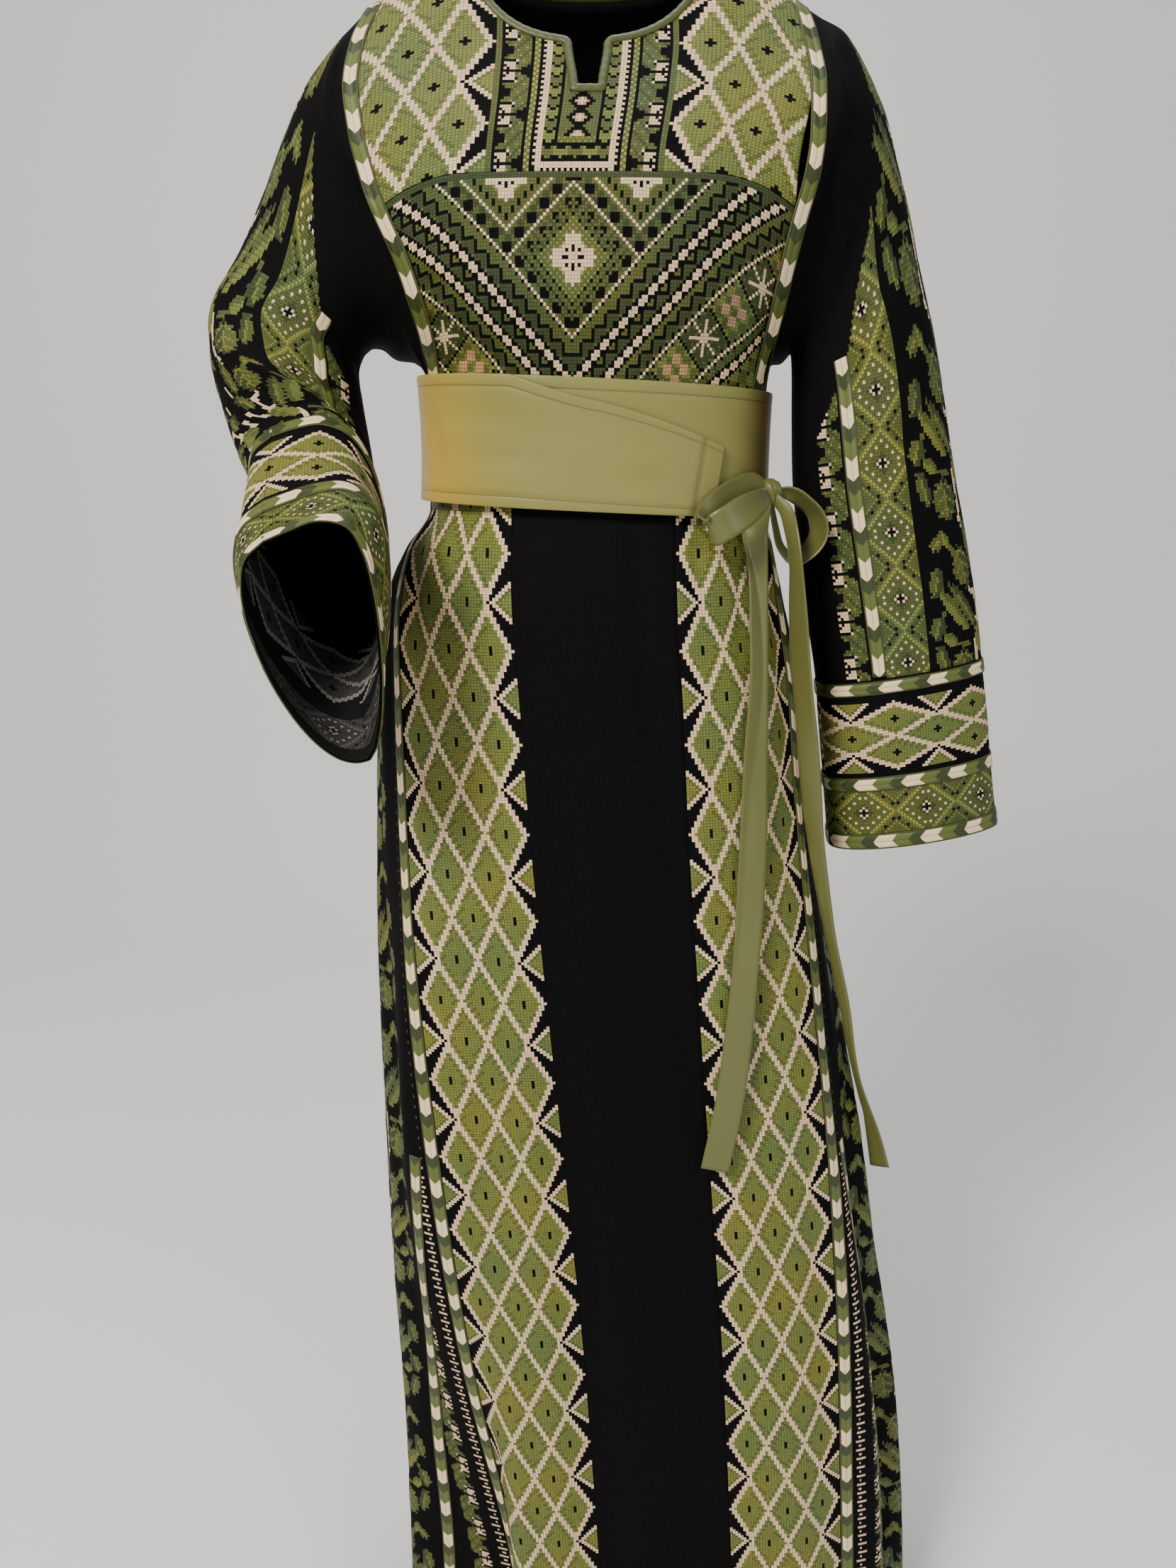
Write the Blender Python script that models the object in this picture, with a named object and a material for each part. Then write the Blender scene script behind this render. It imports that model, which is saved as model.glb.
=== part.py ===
"""Long embroidered thobe with bell sleeves and a wide wrapped belt, worn open-necked.

Every panel is a cloth wall of its own, cut along the seams of the dress. X runs across the
wearer (the wearer's left is +X), -Y is the front and +Z is up. The origin is at the base of the
neck, where the wearer's shoulders carry the dress. Metres throughout.
"""
import math

import bmesh
import bpy
import numpy as np

# ---------------------------------------------------------------- driving sizes (metres)
CLOTH = 0.0016            # embroidered cotton with its stitches
BRAID = 0.0010            # satin braid sewn on the panels
BRAID_WIDTH = 0.012
SEAM = 0.0003             # gap kept between pieces that meet
NECK_HALF = 0.086         # neck opening, half width at the shoulders
NECK_DROP = 0.0890        # front edge of the cloth below the shoulder
NECK_DROP_BACK = 0.026
NECK_SQUARE = 2.4
BINDING_WIDTH = 0.0050    # rolled binding beyond the cloth's edge
BINDING = 0.0022
NECK_GAP = 0.0006         # between the binding and the slanting edge of the cloth
SHOULDER_TIP = 0.155      # half width over the shoulder seams
SHOULDER_FALL = 0.045     # tip of the shoulder below the neck point
SLIT_BOTTOM = -0.1245
SLIT_HALF_TOP = 0.0155
SLIT_HALF_BOTTOM = 0.0112
WAIST_SEAM = -0.325       # hidden under the belt
HEM = -1.510
BELT_TOP = -0.3075
BELT_BOTTOM = -0.3985
BELT_TILT = -0.045        # the belt drops this much for each metre to the wearer's left
BELT = 0.0020
BELT_STANDOFF = 0.0032    # cloth, braid and air between the dress and the belt
RIBBON = 0.0009
FRONT_HALF = 0.176        # half width of the straight front panel of the skirt
BLACK_HALF = 0.060        # half width of its plain centre

# Torso and skirt sections: height, centre, half widths to the wearer's right and left,
# depth in front and behind, and the squareness of the oval.
BODY = [
    # z,     centre, right, left,  front, back,  square
    (0.000, 0.000, 0.250, 0.250, 0.040, 0.045, 2.4),
    (-0.030, 0.000, 0.250, 0.250, 0.048, 0.060, 2.4),
    (-0.060, 0.000, 0.250, 0.250, 0.060, 0.078, 2.4),
    (-0.085, 0.000, 0.247, 0.247, 0.072, 0.090, 2.4),
    (-0.120, 0.000, 0.242, 0.242, 0.095, 0.098, 2.4),
    (-0.160, 0.000, 0.230, 0.230, 0.119, 0.100, 2.4),
    (-0.200, 0.000, 0.205, 0.205, 0.133, 0.096, 2.4),
    (-0.250, 0.001, 0.166, 0.166, 0.130, 0.088, 2.4),
    (-0.305, 0.003, 0.1280, 0.1360, 0.112, 0.084, 2.4),
    (-0.350, 0.004, 0.1270, 0.1340, 0.107, 0.084, 2.4),
    (-0.400, 0.004, 0.1290, 0.1350, 0.108, 0.090, 2.4),
    (-0.430, 0.004, 0.1500, 0.1440, 0.118, 0.104, 2.45),
    (-0.470, 0.005, 0.1680, 0.1530, 0.126, 0.118, 2.5),
    (-0.540, 0.010, 0.1820, 0.1640, 0.130, 0.130, 2.6),
    (-0.630, 0.0155, 0.1940, 0.1700, 0.133, 0.138, 2.6),
    (-0.760, 0.026, 0.2120, 0.1850, 0.137, 0.146, 2.7),
    (-0.960, 0.0435, 0.2330, 0.2105, 0.141, 0.156, 2.8),
    (-1.100, 0.0555, 0.2440, 0.2250, 0.145, 0.162, 2.8),
    (-1.230, 0.0640, 0.2480, 0.2370, 0.148, 0.166, 2.8),
    (-1.350, 0.0710, 0.2530, 0.2430, 0.152, 0.170, 2.8),
    (-1.510, 0.0780, 0.2620, 0.2470, 0.158, 0.176, 2.8),
]

# Long folds of the skirt: angle at the hem from the front centre, depth at the hem (+ is a
# trough), reach towards the front centre and away from it, and where it starts and is full.
FOLDS = [
    # angle,  depth,  inner, outer, start, full
    (-40.0, 0.064, 19.0, 36.0, -0.90, -1.46),
    (-42.0, -0.014, 22.0, 18.0, -0.48, -0.90),
    (-9.0, 0.007, 7.0, 7.0, -0.40, -0.95),
    (10.0, 0.006, 6.0, 8.0, -0.40, -1.10),
    (45.0, -0.008, 12.0, 9.0, -0.70, -1.20),
    (60.0, 0.022, 9.0, 14.0, -0.75, -1.25),
    (84.0, 0.012, 12.0, 12.0, -0.55, -1.30),
    (-82.0, 0.010, 10.0, 12.0, -0.60, -1.30),
    (112.0, 0.018, 13.0, 13.0, -0.42, -1.20),
    (-110.0, 0.017, 12.0, 14.0, -0.42, -1.25),
    (140.0, 0.020, 12.0, 12.0, -0.42, -1.10),
    (-141.0, 0.021, 13.0, 11.0, -0.42, -1.15),
    (166.0, 0.016, 11.0, 11.0, -0.45, -1.30),
    (-167.0, 0.018, 12.0, 12.0, -0.42, -1.05),
]

# Front panel edge (outer edge of its braid) on the bodice: height, half width on each side.
ARMHOLE = [
    # z,     right,  left
    (0.000, 0.155, 0.155), (-0.045, 0.155, 0.155), (-0.060, 0.160, 0.158), (-0.080, 0.166, 0.161),
    (-0.110, 0.169, 0.164), (-0.150, 0.163, 0.162), (-0.175, 0.156, 0.158), (-0.190, 0.151, 0.154),
    (-0.205, 0.145, 0.150), (-0.225, 0.136, 0.146), (-0.250, 0.128, 0.142), (-0.280, 0.1215, 0.138),
    (-0.325, 0.119, 0.130),
]

# Sleeves as flattened rings: the outer line over the arm, the inner line under it, and how
# far the ring stands out to its front and its back. A lean above 1 shifts the front's fullness
# towards the outer line, and an edge above 1 makes its ends flatter.
SLEEVE_R = [
    # outer x, y, z         inner x, y, z           front  back  lean edge
    (-0.186, -0.004, -0.075, -0.1500, -0.002, -0.287, 0.086, 0.076, 1.0, 0.8),
    (-0.205, -0.008, -0.097, -0.1570, -0.004, -0.281, 0.078, 0.070, 1.0, 0.8),
    (-0.224, -0.012, -0.133, -0.1640, -0.008, -0.279, 0.069, 0.064, 1.0, 0.85),
    (-0.242, -0.016, -0.174, -0.1690, -0.012, -0.281, 0.061, 0.057, 1.0, 0.9),
    (-0.262, -0.020, -0.216, -0.1730, -0.018, -0.286, 0.054, 0.050, 1.0, 0.9),
    (-0.282, -0.027, -0.250, -0.1760, -0.022, -0.296, 0.052, 0.048, 1.0, 0.9),
    (-0.283, -0.044, -0.288, -0.1740, -0.026, -0.322, 0.054, 0.044, 1.2, 0.9),
    (-0.269, -0.066, -0.316, -0.1690, -0.034, -0.376, 0.060, 0.040, 1.7, 1.0),
    (-0.248, -0.090, -0.333, -0.1680, -0.050, -0.437, 0.058, 0.037, 2.4, 1.0),
    (-0.222, -0.114, -0.340, -0.1740, -0.078, -0.494, 0.056, 0.035, 1.9, 1.1),
]
CUFF_R = [
    (-0.222, -0.114, -0.340, -0.1740, -0.078, -0.494, 0.056, 0.035, 1.9, 1.1),
    (-0.216, -0.160, -0.370, -0.1660, -0.130, -0.518, 0.060, 0.039, 2.0, 1.3),
    (-0.209, -0.205, -0.397, -0.1560, -0.172, -0.539, 0.068, 0.043, 2.5, 1.6),
    (-0.206, -0.218, -0.413, -0.1470, -0.212, -0.557, 0.055, 0.037, 2.6, 1.4),
]
SLEEVE_L = [
    (0.190, -0.004, -0.068, 0.1500, -0.002, -0.290, 0.086, 0.076, 1.0, 0.8),
    (0.214, -0.008, -0.106, 0.1540, -0.006, -0.284, 0.077, 0.069, 1.0, 0.8),
    (0.231, -0.012, -0.155, 0.1560, -0.012, -0.283, 0.065, 0.062, 1.0, 0.85),
    (0.245, -0.016, -0.205, 0.1570, -0.018, -0.290, 0.052, 0.052, 1.0, 0.9),
    (0.259, -0.018, -0.258, 0.1580, -0.024, -0.306, 0.049, 0.050, 1.0, 0.9),
    (0.272, -0.020, -0.312, 0.1590, -0.028, -0.334, 0.046, 0.050, 1.0, 0.9),
    (0.285, -0.020, -0.368, 0.1620, -0.032, -0.384, 0.043, 0.050, 1.0, 0.9),
    (0.300, -0.020, -0.424, 0.1700, -0.034, -0.438, 0.040, 0.050, 1.0, 0.9),
    (0.312, -0.020, -0.472, 0.1780, -0.036, -0.488, 0.038, 0.050, 1.0, 0.9),
    (0.321, -0.020, -0.516, 0.1870, -0.036, -0.536, 0.036, 0.050, 1.0, 0.9),
]
CUFF_L = [
    (0.321, -0.020, -0.516, 0.1870, -0.036, -0.536, 0.036, 0.050, 1.0, 0.9),
    (0.330, -0.020, -0.563, 0.1930, -0.036, -0.583, 0.035, 0.051, 1.0, 0.9),
    (0.338, -0.020, -0.610, 0.1990, -0.036, -0.629, 0.034, 0.052, 1.0, 0.9),
    (0.347, -0.020, -0.658, 0.2050, -0.036, -0.676, 0.033, 0.053, 1.0, 0.9),
]
CUFF_GAP = 0.0004         # each side of the cuff seam, where the sleeve bends
BEND_GAP = 0.0022         # the first cuff braid stands this far below the bend at the cuff seam
# Distance from the outer line, round the front half of a sleeve, of the columns of its wall.
# The long braid of the sleeve lies between the sixth and the seventh.
SLEEVE_BANDS = (0.0, 0.018, 0.037, 0.056, 0.075, 0.093, 0.110, 0.1215, 0.136, 0.150)
# Where the bands of a cuff meet, as shares of its length: braid, lattice, braid, diamonds, braid.
CUFF_SHARES = (0.0, 0.085, 0.32, 0.565, 0.65, 0.905, 1.0)

# Tie of the belt: centre line of each flat ribbon, the heading and rise of its width in degrees,
# and its half width. Each starts at the knot, and the loops come back to it.
TAIL_INNER = [
    # x,     y,       z,       turn,  rise, half width
    (0.1300, -0.0740, -0.4005, -10.0, 0.0, 0.0070),
    (0.1235, -0.0840, -0.4145, -8.0, 0.0, 0.0108),
    (0.1230, -0.0890, -0.4425, -5.0, 0.0, 0.0115),
    (0.1235, -0.0950, -0.4710, 0.0, 0.0, 0.0115),
    (0.1240, -0.1030, -0.5135, 0.0, 0.0, 0.0115),
    (0.1245, -0.1110, -0.5570, 0.0, 0.0, 0.0115),
    (0.1250, -0.1170, -0.6010, 0.0, 0.0, 0.0115),
    (0.1255, -0.1230, -0.6460, 0.0, 0.0, 0.0115),
    (0.1240, -0.1300, -0.7075, -8.0, 0.0, 0.0112),
    (0.1215, -0.1350, -0.7540, -10.0, 0.0, 0.0110),
    (0.1185, -0.1390, -0.8025, -10.0, 0.0, 0.0110),
    (0.1120, -0.1430, -0.8625, -6.0, 0.0, 0.0112),
    (0.1025, -0.1460, -0.9160, 0.0, 0.0, 0.0115),
]
TAIL_OUTER = [
    (0.1475, -0.0760, -0.3980, -40.0, 0.0, 0.0050),
    (0.1520, -0.0870, -0.4145, -58.0, 0.0, 0.0070),
    (0.1545, -0.0920, -0.4315, -66.0, 0.0, 0.0085),
    (0.1590, -0.0900, -0.4725, -62.0, 0.0, 0.0105),
    (0.1650, -0.0860, -0.5330, -50.0, 0.0, 0.0115),
    (0.1740, -0.0830, -0.6115, -30.0, 0.0, 0.0115),
    (0.1800, -0.0810, -0.6605, -36.0, 0.0, 0.0115),
    (0.1920, -0.0780, -0.7285, -36.0, 0.0, 0.0115),
    (0.2100, -0.0720, -0.8015, -40.0, 0.0, 0.0115),
    (0.2285, -0.0640, -0.8790, -52.0, 0.0, 0.0115),
    (0.2505, -0.0560, -0.9415, -38.0, 0.0, 0.0115),
    (0.2595, -0.0530, -0.9730, -30.0, 0.0, 0.0115),
]
LOOP_INNER = [
    (0.1260, -0.0740, -0.3800, 0.0, 95.0, 0.0070),
    (0.1085, -0.0900, -0.3860, 0.0, 102.0, 0.0110),
    (0.0930, -0.1060, -0.3965, 0.0, 108.0, 0.0115),
    (0.0850, -0.1130, -0.4055, 0.0, 112.0, 0.0115),
    (0.0870, -0.1190, -0.4120, 0.0, 115.0, 0.0115),
    (0.0970, -0.1220, -0.4070, 0.0, 118.0, 0.0115),
    (0.1115, -0.1160, -0.3985, 0.0, 118.0, 0.0115),
    (0.1265, -0.0970, -0.3910, 0.0, 112.0, 0.0085),
]
LOOP_OUTER = [
    (0.1500, -0.0660, -0.3865, -60.0, 45.0, 0.0060),
    (0.1630, -0.0670, -0.3930, -71.0, 20.0, 0.0100),
    (0.1730, -0.0680, -0.4040, -66.0, 8.0, 0.0110),
    (0.1750, -0.0690, -0.4170, -64.0, -4.0, 0.0115),
    (0.1670, -0.0695, -0.4300, -74.0, -18.0, 0.0115),
    (0.1555, -0.0700, -0.4355, -95.0, -26.0, 0.0110),
    (0.1465, -0.0700, -0.4270, -110.0, -12.0, 0.0100),
    (0.1420, -0.0690, -0.4125, -116.0, 0.0, 0.0075),
]
KNOT_ANGLE, KNOT_SHARE = 61.5, 0.805   # place on the belt: degrees round it and share of its height
KNOT_RADII = (0.0085, 0.0085, 0.0105)
KNOT_END = 0.0040         # half width of a ribbon where the knot gathers it
RIBBON_CLEAR = 0.0035     # least distance of a hanging ribbon's face from the skirt or belt


# ---------------------------------------------------------------- small tools
def smooth_curve(rows, column):
    """A monotone cubic through one column of a table whose first column is the height."""
    keys = np.array([row[0] for row in rows])[::-1]
    values = np.array([row[column] for row in rows])[::-1]
    steps = np.diff(keys)
    slopes = np.diff(values) / steps
    tangents = np.zeros(len(keys))
    tangents[0], tangents[-1] = slopes[0], slopes[-1]
    for i in range(1, len(keys) - 1):
        if slopes[i - 1] * slopes[i] > 0:
            before, after = steps[i - 1], steps[i]
            weight_a, weight_b = 2 * after + before, after + 2 * before
            tangents[i] = (weight_a + weight_b) / (weight_a / slopes[i - 1] + weight_b / slopes[i])

    def evaluate(key):
        i = int(np.clip(np.searchsorted(keys, key) - 1, 0, len(steps) - 1))
        t = min(max((key - keys[i]) / steps[i], 0.0), 1.0)
        a, b = 2 * t**3 - 3 * t**2 + 1, t**3 - 2 * t**2 + t
        c, d = 3 * t**2 - 2 * t**3, t**3 - t**2
        return a * values[i] + b * steps[i] * tangents[i] + c * values[i + 1] + d * steps[i] * tangents[i + 1]
    return evaluate


def ease(value, start, end):
    """0 before start, 1 after end, smooth between."""
    t = min(max((value - start) / (end - start), 0.0), 1.0)
    return t * t * (3 - 2 * t)


def unit(vector):
    return vector / max(np.linalg.norm(vector), 1e-12)


def along(points, distances):
    """Points at given distances along a polyline."""
    points = np.asarray(points)
    lengths = np.concatenate([[0.0], np.cumsum(np.linalg.norm(np.diff(points, axis=0), axis=1))])
    return np.stack([np.interp(distances, lengths, points[:, k]) for k in range(points.shape[1])], axis=1)


def grid_normals(grid, outward):
    """Normals of a grid of points, turned so that they agree with outward(point)."""
    grid = np.asarray(grid)
    across = np.gradient(grid, axis=1)
    down = np.gradient(grid, axis=0)
    normals = np.cross(across, down)
    normals /= np.maximum(np.linalg.norm(normals, axis=2, keepdims=True), 1e-12)
    middle = grid[grid.shape[0] // 2][grid.shape[1] // 2]
    if np.dot(normals[grid.shape[0] // 2][grid.shape[1] // 2], outward(middle)) < 0:
        normals = -normals
    return normals


# ---------------------------------------------------------------- the body of the dress
CENTRE, RIGHT, LEFT, FRONT, BACK, SQUARE = (smooth_curve(BODY, column) for column in range(1, 7))
ARMHOLE_RIGHT, ARMHOLE_LEFT = smooth_curve(ARMHOLE, 1), smooth_curve(ARMHOLE, 2)


def shoulder_height(x):
    """Height of the shoulder seam over a point across the body."""
    return -SHOULDER_FALL * max(abs(x) - NECK_HALF, 0.0) / (SHOULDER_TIP - NECK_HALF)


def torso_point(x, z, side):
    """Point of the bodice: side is -1 for the front and +1 for the back."""
    half = RIGHT(z) if x < CENTRE(z) else LEFT(z)
    share = min(abs(x - CENTRE(z)) / half, 0.999)
    power = SQUARE(z)
    oval = (1 - share**power) ** (1 / power)
    drop = min(max((shoulder_height(x) - z) / 0.07, 0.0), 1.0)
    rounding = (1 - (1 - drop) ** 2.2) ** (1 / 2.2)
    depth = FRONT(z) if side < 0 else BACK(z)
    return np.array([x, side * depth * oval * rounding, z])


def torso_normal(x, z, side):
    """Outward normal of the bodice, read just below the point so that it holds at the shoulder."""
    step = 0.002
    across = torso_point(x + step, z - step, side) - torso_point(x - step, z - step, side)
    down = torso_point(x, z - 2 * step, side) - torso_point(x, z, side)
    return unit(np.cross(down, across)) * -side


def fold_depth(degrees, z):
    """How far the long folds draw the skirt in at an angle and height."""
    depth = 0.0
    for angle, deep, inner, outer, start, full in FOLDS:
        gap = (degrees - angle + 180.0) % 360.0 - 180.0
        reach = outer if gap * math.copysign(1.0, angle) > 0 else inner
        if abs(gap) < reach:
            depth += deep * ease(-z, -start, -full) * 0.5 * (1 + math.cos(math.pi * gap / reach))
    return depth


RING_STEPS = 720
RING_CACHE = {}


def skirt_ring(z):
    """The closed outline of the skirt at a height, as points and distances from the front centre."""
    key = round(z, 6)
    if key in RING_CACHE:
        return RING_CACHE[key]
    centre, power = CENTRE(z), SQUARE(z)
    degrees = np.linspace(-180.0, 180.0, RING_STEPS + 1)
    points = []
    for angle in degrees:
        sine, cosine = math.sin(math.radians(angle)), math.cos(math.radians(angle))
        half = RIGHT(z) if sine < 0 else LEFT(z)
        depth = FRONT(z) if cosine > 0 else BACK(z)
        x = half * math.copysign(abs(sine) ** (2 / power), sine)
        y = -depth * math.copysign(abs(cosine) ** (2 / power), cosine)
        shrink = 1 - fold_depth(angle, z) / math.hypot(x, y)
        points.append((centre + x * shrink, y * shrink))
    points = np.array(points)
    lengths = np.concatenate([[0.0], np.cumsum(np.linalg.norm(np.diff(points, axis=0), axis=1))])
    distances = lengths - lengths[RING_STEPS // 2]
    RING_CACHE[key] = (points, distances)
    return RING_CACHE[key]


def skirt_point(distance, z):
    """Point of the skirt at a distance round it from the front centre."""
    points, distances = skirt_ring(z)
    if distance > distances[-1]:
        distance -= distances[-1] - distances[0]
    return np.array([np.interp(distance, distances, points[:, 0]),
                     np.interp(distance, distances, points[:, 1]), z])


def skirt_normal(distance, z):
    step = 0.002
    across = skirt_point(distance + step, z) - skirt_point(distance - step, z)
    down = skirt_point(distance, z - step) - skirt_point(distance, z + step)
    return unit(np.cross(down, across))


# ---------------------------------------------------------------- making solids
def wall(name, points, normals, thickness, colour, lift=0.0, gaps=(0, 0, 0, 0), keep=None):
    """A closed cloth wall from a grid of outer points.

    lift moves it out along the normals, gaps draws in its top, bottom, first and last edges, and
    keep says which cells are cloth.
    """
    grid = np.array(points, dtype=float)
    normals = np.asarray(normals)
    top, bottom, first, last = gaps
    for row in range(grid.shape[0]):
        grid[row, 0] += first * unit(grid[row, 1] - grid[row, 0])
        grid[row, -1] += last * unit(grid[row, -2] - grid[row, -1])
    for column in range(grid.shape[1]):
        grid[0, column] += top * unit(grid[1, column] - grid[0, column])
        grid[-1, column] += bottom * unit(grid[-2, column] - grid[-1, column])
    outer = grid + normals * lift
    inner = outer - normals * thickness
    model = bmesh.new()
    rows, columns = grid.shape[:2]
    layers = [[[model.verts.new(layer[i, j]) for j in range(columns)] for i in range(rows)]
              for layer in (outer, inner)]
    edge_count = {}
    for i in range(rows - 1):
        for j in range(columns - 1):
            if keep is not None and not keep(i, j):
                continue
            corners = ((i, j), (i + 1, j), (i + 1, j + 1), (i, j + 1))
            for a, b, c in ((0, 1, 2), (0, 2, 3)):
                face = [corners[a], corners[b], corners[c]]
                model.faces.new([layers[0][p][q] for p, q in face])
                model.faces.new([layers[1][p][q] for p, q in reversed(face)])
            for k in range(4):
                start, end = corners[k], corners[(k + 1) % 4]
                twin = (end, start)
                if twin in edge_count:
                    del edge_count[twin]
                else:
                    edge_count[(start, end)] = True
    for (i, j), (p, q) in edge_count:
        a, b = layers[0][i][j], layers[0][p][q]
        c, d = layers[1][p][q], layers[1][i][j]
        model.faces.new((a, d, c))
        model.faces.new((a, c, b))
    for vertex in [v for v in model.verts if not v.link_faces]:
        model.verts.remove(vertex)
    return finish(name, model, colour)


def finish(name, model, colour):
    """Turn a bmesh into a named object with its own material."""
    bmesh.ops.recalc_face_normals(model, faces=model.faces)
    mesh = bpy.data.meshes.new(name)
    model.to_mesh(mesh)
    model.free()
    mesh.shade_smooth()
    mesh.set_sharp_from_angle(angle=math.radians(40))
    material = bpy.data.materials.new(name + "_cloth")
    material.use_nodes = True
    shader = material.node_tree.nodes["Principled BSDF"]
    shader.inputs["Base Color"].default_value = (*colour, 1.0)
    shader.inputs["Roughness"].default_value = 0.7
    shader.inputs["Metallic"].default_value = 0.0
    mesh.materials.append(material)
    thing = bpy.data.objects.new(name, mesh)
    bpy.context.scene.collection.objects.link(thing)
    return thing


BLACK = (0.010, 0.009, 0.010)
OLIVE = (0.110, 0.150, 0.045)
SATIN = (0.200, 0.205, 0.070)
BRAID_GREEN = (0.150, 0.190, 0.060)
SIDES = {"r": -1, "l": 1}


# ---------------------------------------------------------------- bodice
# Share across the field between the braids, at each column: the slit edge is the second.
NECK_SHARE = NECK_HALF / (SHOULDER_TIP - BRAID_WIDTH)
FIELD_SHARES = (0.0, 0.06, 0.20, 0.34, 0.45, 0.535, NECK_SHARE, 0.70, 0.85, 1.0)
NECK_COLUMN = 6
YOKE_ROWS = (0.0, 0.05, 0.13, 0.30, 0.4685, 0.60, 0.73, 0.86, 1.0)
NECK_ROW = 2
CHEST_ROWS = (0.0, 0.2, 0.4, 0.6, 0.8, 1.0)
SLIT_ROW = 4
SLIT_COLUMN = 1


def yoke_seam(x):
    """Height of the seam under the yoke: level in the middle, dropping to the armholes."""
    return -0.180 - 5.0 * max(abs(x) - 0.080, 0.0) ** 2


def neckline(x, drop):
    if abs(x) >= NECK_HALF - 1e-9:
        return shoulder_height(x)
    return -drop * (1 - (abs(x) / NECK_HALF) ** NECK_SQUARE) ** (1 / NECK_SQUARE)


def field_x(column, z):
    """Across position of a signed column: the last is the outer edge of the braid."""
    step = abs(column)
    side = -1 if column < 0 else 1
    half = ARMHOLE_RIGHT(z) if column < 0 else ARMHOLE_LEFT(z)
    if step == len(FIELD_SHARES):
        return side * half
    if step == SLIT_COLUMN:
        fall = ease(-z, NECK_DROP, -SLIT_BOTTOM)
        return side * (SLIT_HALF_TOP + (SLIT_HALF_BOTTOM - SLIT_HALF_TOP) * fall)
    return side * FIELD_SHARES[step] * (half - BRAID_WIDTH)


def column_ends(column, drop):
    """Top and yoke-seam heights of a column."""
    top = -drop
    low = -0.18
    for _ in range(12):
        top = neckline(field_x(column, top), drop)
        low = yoke_seam(field_x(column, low))
    return top, low


def bodice_grid(side, drop):
    """Rows of points and normals from the shoulder and neckline to the waist.

    Columns inside the neck start at the neckline, NECK_ROW rows down.
    """
    reach = len(FIELD_SHARES)
    columns = list(range(-reach, reach + 1))
    ends = {column: column_ends(column, drop) for column in columns}
    first = YOKE_ROWS[NECK_ROW]
    heights = []
    for share in YOKE_ROWS:
        inner = max(share - first, 0.0) / (1 - first)
        heights.append([ends[c][0] + (inner if abs(c) < NECK_COLUMN else share) * (ends[c][1] - ends[c][0])
                        for c in columns])
    for share in CHEST_ROWS[1:]:
        heights.append([ends[c][1] + share * (WAIST_SEAM - ends[c][1]) for c in columns])
    places = [[(field_x(c, z), z, side) for c, z in zip(columns, row)] for row in heights]
    grid = np.array([[torso_point(*place) for place in row] for row in places])
    normals = np.array([[torso_normal(*place) for place in row] for row in places])
    slope = unit(np.array([SHOULDER_FALL, 0.0, SHOULDER_TIP - NECK_HALF]))
    for index, column in enumerate(columns):
        if abs(column) >= NECK_COLUMN:
            normals[0, index] = slope * np.array([math.copysign(1.0, column), 1.0, 1.0])
    normals[-1, :, 2] = 0.0
    normals[-1] /= np.linalg.norm(normals[-1], axis=1, keepdims=True)
    return grid, normals


FRONT_GRID, FRONT_NORMALS = bodice_grid(-1, NECK_DROP)
BACK_GRID, BACK_NORMALS = bodice_grid(1, NECK_DROP_BACK)
YOKE_LAST = len(YOKE_ROWS)


def make_bodice():
    middle = len(FIELD_SHARES)

    def outside_neck(row, column):
        return row >= NECK_ROW or not middle - NECK_COLUMN <= column < middle + NECK_COLUMN

    def outside_slit(row, column):
        in_slit = row < SLIT_ROW and middle - SLIT_COLUMN <= column < middle + SLIT_COLUMN
        return outside_neck(row, column) and not in_slit

    half = SEAM / 2
    wall("yoke_front", FRONT_GRID[:YOKE_LAST], FRONT_NORMALS[:YOKE_LAST], CLOTH, OLIVE,
         gaps=(half, half, half, half), keep=outside_slit)
    wall("chest_panel", FRONT_GRID[YOKE_LAST - 1:], FRONT_NORMALS[YOKE_LAST - 1:], CLOTH, OLIVE,
         gaps=(half, half, half, half))
    wall("bodice_back", BACK_GRID, BACK_NORMALS, CLOTH, BLACK, gaps=(half, half, half, half),
         keep=outside_neck)
    for suffix, sign in SIDES.items():
        columns = slice(0, 2) if sign < 0 else slice(-2, None)
        wall("armhole_braid_" + suffix, FRONT_GRID[1:, columns], FRONT_NORMALS[1:, columns],
             BRAID, BRAID_GREEN, lift=SEAM + BRAID, gaps=(half, half, half, half))


def neck_path(grid, normals, slit):
    """The cloth's edge round the neck from the wearer's right, with the surface normals along it."""
    middle = len(FIELD_SHARES)
    right = [(row, middle - NECK_COLUMN) for row in range(NECK_ROW)]
    right += [(NECK_ROW, middle - k) for k in range(NECK_COLUMN, SLIT_COLUMN - 1, -1)]
    left = [(NECK_ROW, middle + k) for k in range(SLIT_COLUMN, NECK_COLUMN + 1)]
    left += [(row, middle + NECK_COLUMN) for row in range(NECK_ROW - 1, -1, -1)]
    if slit:
        down = [(row, middle - SLIT_COLUMN) for row in range(NECK_ROW + 1, SLIT_ROW + 1)]
        up = [(row, middle + SLIT_COLUMN) for row in range(SLIT_ROW, NECK_ROW, -1)]
        cells = right + down + [(SLIT_ROW, middle)] + up + left
    else:
        cells = right + [(NECK_ROW, middle)] + left
    return [grid[cell] for cell in cells], [normals[cell] for cell in cells]


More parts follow.
